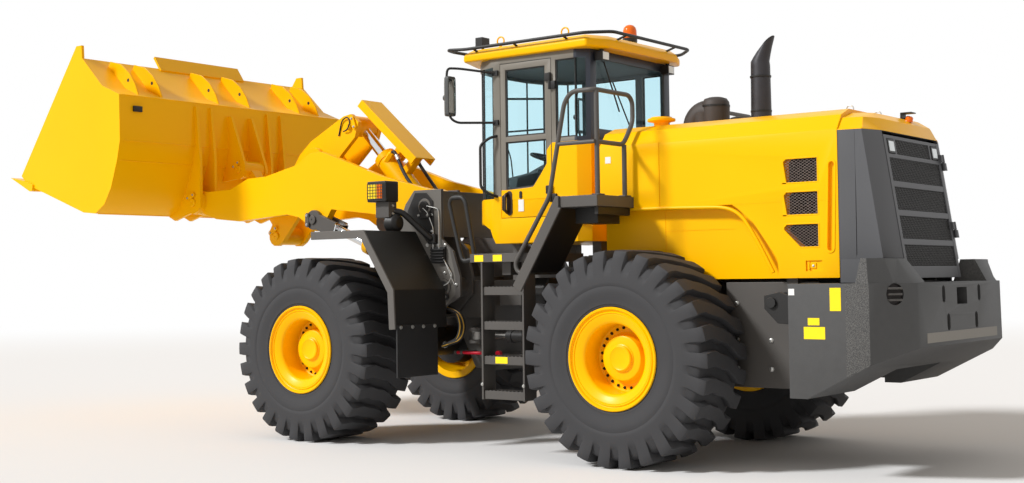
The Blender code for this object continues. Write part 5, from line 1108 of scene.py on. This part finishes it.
build("beacon_lens", [beacon], "rear_body", amber_lens, ("beacon",))
ribs = ringed(20, 0.069, 0,
    lambda x, y, z: tube([(x + BEACON[0], z + BEACON[1], ROOF_TOP + 0.125),
    (x * 0.96 + BEACON[0], z * 0.96 + BEACON[1], ROOF_TOP + 0.19)], 0.003, sides=6))
build("beacon_lens_ribs", ribs, "rear_body", amber_lens)
stem = upright([(0, 0.034), (0.012, 0.034), (0.014, 0.012), (0.075, 0.012), (0.078, 0.074), (0.115, 0.076),
    (0.12, 0.07), (0.12, 0.0)], BEACON, 40)
build("beacon_stem", [stem], "rear_body", black_enamel)


# Mirrors
# Moulded shells on a bent tube arm from the front pillars, held by a plate at each
# end, with silvered glass facing back.
mirror_shell = surface("moulded_mirror_shell", "4C4D4C", "404140", 50, (0.45, 0.6), 0.3, 3, "black_paint")
mirror_glass = surface("silvered_mirror_glass", "E6EAEC", "DCE1E4", 400, (0.02, 0.03), 0.0, 9, "chrome",
    Metallic=1.0)
arm = [tube([(-0.085, 0.812, 3.66), (0.20, 1.04, 3.71), (0.27, 1.12, 3.71), (0.285, 1.12, 3.65),
    (0.25, 1.12, 3.22), (0.20, 1.07, 3.17), (-0.085, 0.812, 3.17)], 0.012, 0.05, 12)]
arm += [block((-0.115, -0.055), (0.8003, 0.8223), (z - 0.025, z + 0.025)) for z in (3.66, 3.17)]
shell_ring = [(0.215, 1.06), (0.215, 1.18), (0.25, 1.19), (0.285, 1.16), (0.29, 1.12), (0.285, 1.08),
    (0.25, 1.05)]
shell = [skin([[(x, 1.12 + (y - 1.12) * s, z) for x, y in shell_ring] for z, s in ((3.235, 0.75),
    (3.25, 0.95), (3.30, 1.0), (3.55, 1.0), (3.605, 0.95), (3.625, 0.75))]),
    turned([(0, 0.03), (0.03, 0.028)], (0.288, 1.12, 3.42), (2, 1.12, 3.42), 20)]
pair("mirror_arm", arm, "rear_body", black_enamel, ["mirror"])
pair("mirror_shell", shell, "rear_body", mirror_shell, edge=0.006, steps=3)
pair("mirror_glass", [block((0.2135, 0.216), (1.068, 1.172), (3.265, 3.595))], "rear_body", mirror_glass)


# Cab interior
# A sprung seat in woven cloth over foam, a steering wheel on a tilting column, side
# consoles and a lever, all in dark plastic.
FLOOR_Z = 2.0403
VOXEL = 0.012
CLOTH_CAP = 0.014                    # the most that the cloth moves off its foam
CLOTH_STEPS = 20
CLOTH_PRESSURE = 4
STEERING_RIM = 0.18
woven_cloth = surface("woven_seat_cloth", "3A3B3E", "2E2F32", 60, (0.85, 0.95), 1.2, 3, "cloth",
    Sheen_Weight=0.3)


def cushion(name, size, matrix, node=()):
    """A padded form: a rounded block, blown up as cloth over its foam."""
    shape = bmesh.new()
    bmesh.ops.create_cube(shape, size=1.0)
    bmesh.ops.scale(shape, vec=[s - 0.02 for s in size], verts=shape.verts)
    bmesh.ops.bevel(shape, geom=list(shape.edges), offset=0.028, segments=3, affect="EDGES")
    mesh = bpy.data.meshes.new(name)
    shape.to_mesh(mesh)
    shape.free()
    piece = placed(bpy.data.objects.new(name, mesh))
    remesh = piece.modifiers.new("remesh", "REMESH")
    remesh.mode = "VOXEL"
    remesh.voxel_size = VOXEL
    graph = bpy.context.evaluated_depsgraph_get()
    piece.data = bpy.data.meshes.new_from_object(piece.evaluated_get(graph))
    piece.modifiers.clear()
    start = [v.co.copy() for v in piece.data.vertices]
    soft = piece.modifiers.new("cloth", "CLOTH")
    soft.settings.use_pressure = True
    soft.settings.uniform_pressure_force = CLOTH_PRESSURE
    soft.settings.effector_weights.gravity = 0
    for step in range(1, CLOTH_STEPS + 1):
        bpy.context.scene.frame_set(step)
    graph = bpy.context.evaluated_depsgraph_get()
    blown = bpy.data.meshes.new_from_object(piece.evaluated_get(graph))
    piece.modifiers.clear()
    for vertex, before in zip(blown.vertices, start):
        change = vertex.co - before
        vertex.co = before + change * min(1.0, CLOTH_CAP / max(change.length, 1e-6))
    piece.data = blown
    bpy.context.scene.frame_set(1)
    piece.data.transform(Matrix.Translation((HINGE_X, 0, 0)) @ matrix)
    subdivide = piece.modifiers.new("smooth", "SUBSURF")
    subdivide.levels = subdivide.render_levels = 1
    finish(piece, "rear_body", woven_cloth, node, 0.0, 60)


cushion("seat_cushion", (0.50, 0.50, 0.13), Matrix.Translation((-0.55, 0, FLOOR_Z + 0.40)), ("seat",))
lean = Matrix.Rotation(math.radians(-11), 4, "Y")
cushion("seat_back", (0.11, 0.46, 0.60), Matrix.Translation((-0.80, 0, FLOOR_Z + 0.78)) @ lean)
base = [slab("y", [(-0.76, FLOOR_Z), (-0.34, FLOOR_Z), (-0.38, FLOOR_Z + 0.32), (-0.74, FLOOR_Z + 0.32)],
    -0.20, 0.20)]
for i in range(6):
    base.append(block((-0.77 + 0.006 * i, -0.33 - 0.008 * i), (-0.21, 0.21),
        (FLOOR_Z + 0.04 + 0.045 * i, FLOOR_Z + 0.06 + 0.045 * i)))
build("seat_base_bellows", base, "rear_body", black_enamel, edge=0.006)
consoles = [block((-0.82, -0.20), (-0.56, -0.34), (FLOOR_Z + 0.30, FLOOR_Z + 0.56)),
    block((-0.80, -0.30), (-0.55, -0.36), (FLOOR_Z, FLOOR_Z + 0.31)),
    tube([(-0.36, -0.45, FLOOR_Z + 0.55), (-0.34, -0.45, FLOOR_Z + 0.70)], 0.012),
    turned([(0, 0.018), (0.03, 0.026), (0.06, 0.02)], (-0.34, -0.45, FLOOR_Z + 0.69), (-0.34, -0.45, 5), 20),
    block((-0.70, -0.40), (0.26, 0.31), (FLOOR_Z + 0.55, FLOOR_Z + 0.60)),
    slab("x", [(-0.50, FLOOR_Z + 0.20), (0.36, FLOOR_Z + 0.20), (0.28, 2.66), (-0.10, 2.74), (-0.40, 2.86),
    (-0.50, 2.80)], 0.06, 0.20)]
build("side_consoles", consoles, "rear_body", lining, edge=0.02, steps=3)
column = [slab("y", [(-0.25, FLOOR_Z), (-0.13, FLOOR_Z), (-0.03, FLOOR_Z + 0.72), (-0.15, FLOOR_Z + 0.70)],
    -0.06, 0.06), tube([(-0.08, 0, FLOOR_Z + 0.66), (-0.12, 0, FLOOR_Z + 0.82)], 0.028)]
circle = [(STEERING_RIM * math.cos(a), STEERING_RIM * math.sin(a),
    0) for a in [2 * math.pi * i / 48 for i in range(49)]]
wheel_lean = Matrix.Translation((-0.125, 0, FLOOR_Z + 0.82)) @ Matrix.Rotation(math.radians(-20), 4, "Y")
wheel_parts = [tube(circle, 0.014, sides=12, closed=True),
    turned([(-0.02, 0.05), (0.01, 0.055), (0.02, 0.04)], (0, 0, 0), (0, 0, 1), 24)]
wheel_parts += [tube([(0.04 * math.cos(a), 0.04 * math.sin(a), 0),
    (0.178 * math.cos(a), 0.178 * math.sin(a), 0)], 0.01) for a in (0.5, 2.6, 4.7)]
build("steering_wheel_and_column", column + [moved(p, wheel_lean) for p in wheel_parts], "rear_body",
    black_enamel, ("steering_column",), edge=0.003)


# Hood
# Pressed sheet doors in the machine's yellow with rounded shoulders, a recess that follows
# the rear tyre, three mesh vents, a long recessed pull and a small lock box on each side.
PULL = (-3.635, 2.20)
SEAM_X = (-2.004, -1.997)
VENTS = [(2.40, 2.62, 0.0), (2.13, 2.34, 0.0), (1.86, 2.07, 0.15)]
seams = [block(SEAM_X, y, (2.255, 2.84)) for y in ((0.895, 1), (-1, -0.895))]
seams += [block(SEAM_X, y, (1.60, 2.245)) for y in ((0.796, 1), (-1, -0.796))]
seams += [block((-2.70, -2.0), y, (2.037, 2.043)) for y in ((0.796, 1), (-1, -0.796))]
pulls, rims_of_pulls, locks = [], [], []
for side in (1, -1):
    pulls.append(slab("y", capsule(PULL, 0.74, 0.052, 92), *sorted((side * 0.872, side * 0.96))))
    outer, inner = capsule(PULL, 0.775, 0.082, 92), capsule(PULL, 0.735, 0.050, 92)
    rims_of_pulls.append(skin([[(x, side * y, z) for x, z in ring] for ring, y in ((outer, 0.899),
        (outer, 0.905), (inner, 0.905), (inner, 0.885), (outer, 0.899))], caps=False))
    locks.append(block((-3.545, -3.40), (side * 0.885, side * 0.96), (1.668, 1.756)))
softened("hood", yellow_enamel, 0.03, 4, grooves=seams + pulls + locks)
build("hood_pull_rims", rims_of_pulls, "rear_body", yellow_enamel, edge=0.002)
latches = both([block((-3.49, -3.415), (0.884, 0.893), (1.69, 1.735)),
    block((-3.435, -3.42), (0.892, 0.9), (1.68, 1.745))])
build("hood_lock_latches", latches, "rear_body", yellow_enamel, edge=0.002)
build("hood_lock_cylinders", both(screws([(-3.465, 0.893, 1.712)], (0, 1, 0), 0.016, 0.006)), "rear_body",
    zinc_steel)
bead = [(-0.95, 2.252), (-2.085, 2.246), (-2.62, 2.232), (-2.74, 2.20), (-2.83, 2.13), (-2.91, 2.008),
    (-3.001, 1.852), (-3.10, 1.66)]
build("hood_arch_bead", both([tube([(x, 0.893, z) for x, z in bead], 0.017, 0.08, 12)]), "rear_body",
    yellow_enamel)


def vent_outline(low, high, cut):
    return [(-3.53, low), (-3.20 - cut, low), (-3.20, low + cut), (-3.20, high - 0.03), (-3.23, high),
        (-3.53, high)]


def clipped(start, end, outline):
    """The part of a line inside a convex outline, or None."""
    start, end = Vector(start), Vector(end)
    low, high = 0.0, 1.0
    middle = sum((Vector(p) for p in outline), Vector((0, 0))) / len(outline)
    for a, b in zip(outline, outline[1:] + outline[:1]):
        a, b = Vector(a), Vector(b)
        normal = Vector((a.y - b.y, b.x - a.x))
        if normal.dot(middle - a) < 0:
            normal = -normal
        here, rate = normal.dot(start - a), normal.dot(end - start)
        if abs(rate) < 1e-9:
            if here < 0:
                return None
            continue
        cross = -here / rate
        low, high = (max(low, cross), high) if rate > 0 else (low, min(high, cross))
    return (start.lerp(end, low), start.lerp(end, high)) if high - low > 1e-3 else None


def woven_mesh(outline, pitch, slope, place, radius=0.0022):
    """Crossed wires over an outline; place turns a flat point into one in space."""
    xs, zs = [p[0] for p in outline], [p[1] for p in outline]
    wires = []
    for lean in (slope, -slope):
        height = abs(lean) * (max(xs) - min(xs))
        count = int((max(zs) - min(zs) + height) / pitch) + 1
        for i in range(count):
            z = min(zs) - (height if lean > 0 else 0) + i * pitch
            found = clipped((min(xs), z), (max(xs), z + lean * (max(xs) - min(xs))), outline)
            if found:
                wires.append(tube([place(*found[0]), place(*found[1])], radius, sides=4))
    return wires


mesh_parts, trims = [], []
for low, high, cut in VENTS:
    outline = vent_outline(low, high, cut)
    mesh_parts += woven_mesh(outline, 0.024, 0.62, lambda x, z: (x, 0.884, z), 0.0014)
    inner = shrunk(outline, 0.012)
    rows = [[(x, y, z) for x, z in ring] for ring, y in ((outline, 0.86), (outline, 0.9015), (inner, 0.9015),
        (inner, 0.88), (outline, 0.86))]
    trims.append(skin(rows, caps=False))
build("vent_mesh", both(mesh_parts), "rear_body", surface("grey_wire_mesh", "8C7F78", "7A6E67", 20,
    (0.4, 0.5), 0.1, 3, "grey_paint", Metallic=0.4))
build("vent_frames", both(trims), "rear_body", yellow_enamel, edge=0.002)
# Near-black painted shade for the dark inside the hood and in recesses: the sheets behind the vents, the engine
# and radiator, the screen behind the grille and the tail lamp's lens.
painted_shade_black = surface("near_black_painted_shade", "1E1614", "130E0D", 200, (0.7, 0.85), 0.6, 8, "black_paint")
build("vent_backs",
    both([block((-3.60, -3.10), (0.60, 0.61), (1.80, 2.70)),
    block((-3.12, -3.10), (0.60, 0.758), (1.80, 2.70)), block((-3.60, -3.12), (0.60, 0.758), (2.66, 2.68))]),
    "rear_body", painted_shade_black)
fins = [block((-3.56, -3.44), (0.63, 0.64 + 0.10), (1.84, 2.64))]
fins += [block((-3.445, -3.432), (0.63, 0.745),
    (z, z + 0.006)) for z in [1.85 + 0.016 * i for i in range(49)]]
build("cooler_fins", both(fins), "rear_body", surface("brazed_cooler_tank", "776B63", "655A53", 30,
    (0.5, 0.6), 0.4, 4, "grey_paint", Metallic=0.3))
eye_ring = [moved(tube(ring_path, 0.007, sides=10, closed=True),
    Matrix.Translation((-3.56, y, 3.06)) @ Matrix.Scale(0.75, 4)) for y in (0.30, -0.30)]
build("hood_lifting_eyes", eye_ring, "rear_body", zinc_steel)
# The engine and radiator take the same near-black painted shade.
for node in ("engine", "radiator"):
    softened(node, painted_shade_black, 0.02)


# Exhaust, air cleaner and filler
# A rolled steel stack with a slanted outlet and two clamp bands, the air cleaner's moulded
# elbow and drum with its band, and the tank's pressed filler neck, all stood on the hood.
HOOD_TOP = 3.0203
STACK_X, ELBOW_X, DRUM_X = -2.56, -1.975, -2.085
stack = [upright([(0, 0.13), (0.02, 0.13), (0.03, 0.12), (0.035, 0.098), (0.06, 0.096)],
    (STACK_X, 0, HOOD_TOP))]
# height, radius, lean to the front and slant of each ring up to the outlet
STACK_RINGS = [(0.05, 0.095, 0.0, 0), (0.30, 0.092, 0.0, 0), (0.55, 0.089, 0.0, 0), (0.59, 0.086, 0.002, 0),
    (0.64, 0.078, -0.018, 0.1), (0.70, 0.070, -0.045, 0.35), (0.76, 0.064, -0.078, 0.9)]
mouth = []
for z, radius, lean, slant in STACK_RINGS:
    turn = [2 * math.pi * k / 40 for k in range(40)]
    mouth.append([(STACK_X + lean + radius * math.cos(a), radius * math.sin(a),
        HOOD_TOP + z - slant * radius * math.cos(a)) for a in turn])
stack.append(skin(mouth))
build("exhaust_stack_pipe", stack, "rear_body", surface("heat_darkened_steel", "3B3A3E", "2C2B2E", 60,
    (0.4, 0.55), 0.3, 5, "black_paint", Metallic=0.5), ("exhaust_stack",), smooth=40)
bands = [upright([(0, 0.098), (0.018, 0.098)], (STACK_X, 0, HOOD_TOP + z)) for z in (0.12, 0.44)]
build("stack_clamp_bands", bands, "rear_body", black_enamel, edge=0.002)
cleaner = [upright([(0, 0.13), (0.05, 0.13), (0.055, 0.125), (0.16, 0.125)], (ELBOW_X, 0, HOOD_TOP), 40),
    upright([(0, 0.128), (0.10, 0.130), (0.20, 0.132), (0.25, 0.128), (0.285, 0.105), (0.299, 0.06),
    (0.30, 0.0)], (DRUM_X, 0, HOOD_TOP)),
    tube([(DRUM_X, 0, HOOD_TOP + 0.165), (-1.94, 0, HOOD_TOP + 0.16), (-1.87, 0, HOOD_TOP + 0.09),
    (-1.86, 0, HOOD_TOP + 0.005)], 0.118, 0.09, 32)]
build("air_precleaner_elbow", cleaner, "rear_body", surface("matt_brown_black_plastic", "3E3632", "302A27",
    120, (0.55, 0.7), 0.4, 5, "black_paint"), ("air_precleaner",), smooth=40)
build("precleaner_band", [upright([(0.0, 0.135), (0.018, 0.135)], (DRUM_X, 0, HOOD_TOP + 0.205))],
    "rear_body", black_enamel)
neck = [upright([(0, 0.07), (0.045, 0.07), (0.055, 0.10), (0.06, 0.128), (0.066, 0.13), (0.08, 0.13),
    (0.085, 0.124), (0.088, 0.10), (0.098, 0.098)], (-1.76, 0.45, HOOD_TOP))]
build("filler_neck_flange", neck, "rear_body", yellow_enamel, ("filler_cap",), smooth=40)


# Tail panels and grille door
# Grey corner panels under a yellow cap.  Between them the hinged grille door: a folded frame
# with four cross bands and black perforated sheet behind them, and two square work lamps.
GRILLE_HALF = 0.62
GRILLE_TOP = (-3.98, 2.80)
GRILLE_FOOT = (-4.162, 1.60)
GRILLE_LEAN = (GRILLE_FOOT[0] - GRILLE_TOP[0]) / (GRILLE_FOOT[1] - GRILLE_TOP[1])
panel_grey = surface("satin_panel_grey", "5B5C5F", "525356", 500, (0.45, 0.55), 0.4, 9, "grey_paint",
    Specular_IOR_Level=0.3)
CAP_SEAM_Z = 2.822
softened("hood_tail", panel_grey, 0.010, 3, cuts=[((0, 0, CAP_SEAM_Z), (0, 0, 1))],
    also=[(yellow_enamel, lambda m, n: m.z > CAP_SEAM_Z - 0.001)],
    grooves=both([block((-3.846, -3.84), (0.868, 1.0), (1.70, 2.82))]))
skirt = [(-3.701, 0.894), (-3.99, 0.865), (-3.99, 0.826), (-3.701, 0.856)]
build("tail_skirts", both([slab("z", skirt, 1.5675, 1.79)]), "rear_body", panel_grey, edge=0.004)


def leaning(y_span, z_span, near, depth):
    """A bar in the grille's leaning plane, some way behind its face."""
    rows = []
    for z in z_span:
        x = GRILLE_TOP[0] + GRILLE_LEAN * (z - GRILLE_TOP[1]) + near
        rows.append([(x, y_span[0], z), (x, y_span[1], z), (x + depth, y_span[1], z),
            (x + depth, y_span[0], z)])
    return skin(rows)


def behind_grille(y, z):
    return (GRILLE_TOP[0] + GRILLE_LEAN * (z - GRILLE_TOP[1]) + 0.016, y, z)


foot_z, top_z = GRILLE_FOOT[1], GRILLE_TOP[1] - 0.01
rim = 0.055
door_frame = [leaning((side * GRILLE_HALF, side * (GRILLE_HALF - rim)), (foot_z, top_z), 0.0,
    0.05) for side in (1, -1)]
bands = [(foot_z, foot_z + 0.10), (1.875, 1.925), (2.115, 2.165), (2.355, 2.405), (2.60, 2.635),
    (top_z - 0.03, top_z)]
door_frame += [leaning((-GRILLE_HALF + 0.01, GRILLE_HALF - 0.01), band, 0.002, 0.045) for band in bands]
door_frame += [leaning((side * 0.375, side * 0.41), (2.62, top_z - 0.01), 0.003, 0.04) for side in (1, -1)]
for low in (1.95, 2.55):
    knuckle = []
    for z in (low + 0.0708, low + 0.1408):
        knuckle.append((GRILLE_TOP[0] + GRILLE_LEAN * (z - GRILLE_TOP[1]) - 0.02, -0.623, z))
    door_frame.append(tube(knuckle, 0.014, sides=16))
    door_frame.append(leaning((-0.613, -0.573), (low + 0.0718, low + 0.1398), -0.026, 0.046))
build("grille_frame", door_frame, "grille_door", panel_grey, ("grille_door",), edge=0.004)
holes_between = list(zip([b[1] for b in bands[:-1]], [b[0] for b in bands[1:]]))
wires = []
for low, high in holes_between:
    half = 0.375 if low > 2.61 else GRILLE_HALF - rim
    outline = [(-half, low), (half, low), (half, high), (-half, high)]
    wires += woven_mesh(outline, 0.030, 0.9, behind_grille, 0.0065)
build("grille_perforated_sheet", wires, "grille_door", black_enamel)
# A near-black screen behind the grille: painted shade for the dark space behind it.
back = [leaning((-GRILLE_HALF + 0.02, GRILLE_HALF - 0.02), (foot_z + 0.02, top_z - 0.02), 0.038, 0.006)]
build("grille_dark_screen", back, "grille_door", painted_shade_black)
lamp_cases, lamp_glass = [], []
for side in (1, -1):
    lamp_cases.append(leaning((side * 0.415, side * 0.56), (2.638, 2.757), -0.004, 0.05))
    lamp_glass.append(leaning((side * 0.435, side * 0.54), (2.655, 2.74), -0.008, 0.01))
build("tail_work_lamp_cases", lamp_cases, "grille_door", black_enamel, edge=0.006)
build("tail_work_lamp_lenses", lamp_glass, "grille_door", clear_lens, edge=0.004)
marker = [block((-3.90, -3.82), (-0.24, -0.16), (2.945, 2.955)),
    tube([(-3.86, -0.20, 2.93), (-3.86, -0.20, 3.0)], 0.02),
    block((-3.93, -3.83), (-0.25, -0.14), (3.035, 3.045)),
    block((-3.84, -3.828), (-0.25, -0.14), (2.96, 3.04))]
build("tail_marker_bracket", marker, "rear_body", black_enamel, edge=0.002)
build("tail_marker_lens",
    [turned([(0, 0.035), (0.04, 0.032), (0.05, 0.02)], (-3.88, -0.20, 2.965), (-3.92, -0.20, 3.1), 24)],
    "rear_body", amber_lens)


# Counterweight
# One heavy casting in grey paint, ground smooth on its flats with a coarse cast skin left on
# the corners.  Slots and the tow opening are cast in, and a barred lamp sits in each corner.
SIDE_Y = 1.405
CORNER_FRONT, CORNER_REAR = (-4.16, SIDE_Y), (-4.39, 0.973)
TAIL_LAMP = (1.18, 1.48)
BEHIND_X = -4.50
CAST_STRIP_X = (-4.20, -3.965)
cast_iron = surface("painted_cast_iron", "4B4B4B", "424242", 60, (0.5, 0.62), 0.8, 5, "counterweight_iron",
    Specular_IOR_Level=0.35)
rough_cast, tree, shader, where = fresh("rough_cast_skin", "counterweight_iron")
cells = add(tree, "ShaderNodeTexNoise", {"Vector": where, "Scale": 1000 / 6, "Detail": 2.0})
shades = add(tree, "ShaderNodeValToRGB", {"Fac": cells.outputs["Fac"]})
for element, place, code in zip(shades.color_ramp.elements, (0.46, 0.54), ("343434", "5C5B59")):
    element.position = place
    element.color = linear(code)
tree.links.new(shades.outputs["Color"], shader.inputs["Base Color"])
relief = add(tree, "ShaderNodeBump", {"Height": cells.outputs["Fac"], "Distance": 0.003, "Strength": 0.7})
tree.links.new(relief.outputs["Normal"], shader.inputs["Normal"])
shader.inputs["Roughness"].default_value = 0.75


def rough_strip(middle, normal):
    """The corner strip that keeps its cast skin, on each side."""
    return abs(normal.y) > 0.8 and CAST_STRIP_X[0] < middle.x < CAST_STRIP_X[1]


horn_front = slab("y", [(-4.05, 1.5675), (-4.10, 1.80), (-3.85, 1.80), (-3.85, 1.5675)], 0.60, 1.45)
corner_run, corner_rise = CORNER_FRONT[0] - CORNER_REAR[0], CORNER_FRONT[1] - CORNER_REAR[1]
facing = Vector((-corner_rise, corner_run, 0)).normalized()
across = Vector((facing.y, -facing.x, 0))
middle = Vector((CORNER_FRONT[0] - corner_run * (SIDE_Y - TAIL_LAMP[0]) / corner_rise, *TAIL_LAMP))
slots = [slab("x", capsule((y, z), 0.14, 0.07, 90), BEHIND_X, -4.29) for y, z in ((0.42, 1.47),
    (0.33, 1.24))]
tow = block((BEHIND_X, -4.23), (-0.12, 0.12), (1.38, 1.52))
recess = turned([(-0.03, 0.085), (0.05, 0.085)], middle, middle + facing, 32)
softened("counterweight", cast_iron, 0.018, 3, grooves=both([horn_front, recess] + slots) + [tow],
    cuts=[((CAST_STRIP_X[1], 0, 0), (1, 0, 0)), ((0, 0, 1.165), (0, 0, 1))],
    also=[(rough_cast, rough_strip)])
strip = [slab("x", [(-0.84, 1.085), (0.82, 1.085), (0.82, 1.165), (-0.84, 1.165)], -4.3898, -4.38)]
build("counterweight_low_band", strip, "rear_body", frame_grey, edge=0.001)
bars = []
for lift in (-0.045, 0.0, 0.045):
    ends = [middle + across * s * 0.062 + Vector((0, 0, lift)) + facing * 0.004 for s in (-1, 1)]
    bars.append(tube([ends[0] - facing * 0.02, ends[0], ends[1], ends[1] - facing * 0.02], 0.009, 0.012, 10))
build("tail_lamp_bars", both(bars), "rear_body", grey_enamel)
# The tail lamp's lens, deep in its recess, takes the near-black painted shade.
build("tail_lamp_lens",
    both([turned([(-0.026, 0.083), (-0.02, 0.083), (-0.016, 0.06), (-0.015, 0.0)], middle, middle + facing,
    32)]), "rear_body", painted_shade_black)
labels = [((-3.93, -3.838), (1.354, 1.534)), ((-3.793, -3.613), (1.132, 1.228)),
    ((-3.747, -3.649), (1.241, 1.298))]
build("counterweight_blank_labels", both([block(x, (SIDE_Y, 1.4072), z) for x, z in labels]), "rear_body",
    blank_label)
build("counterweight_blank_plate", both([block((-3.537, -3.486), (SIDE_Y, 1.407), (1.477, 1.528))]),
    "rear_body", pale_label)


size = {"cad": [list(v) for v in cad_box], "visual": [list(v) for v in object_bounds()]}
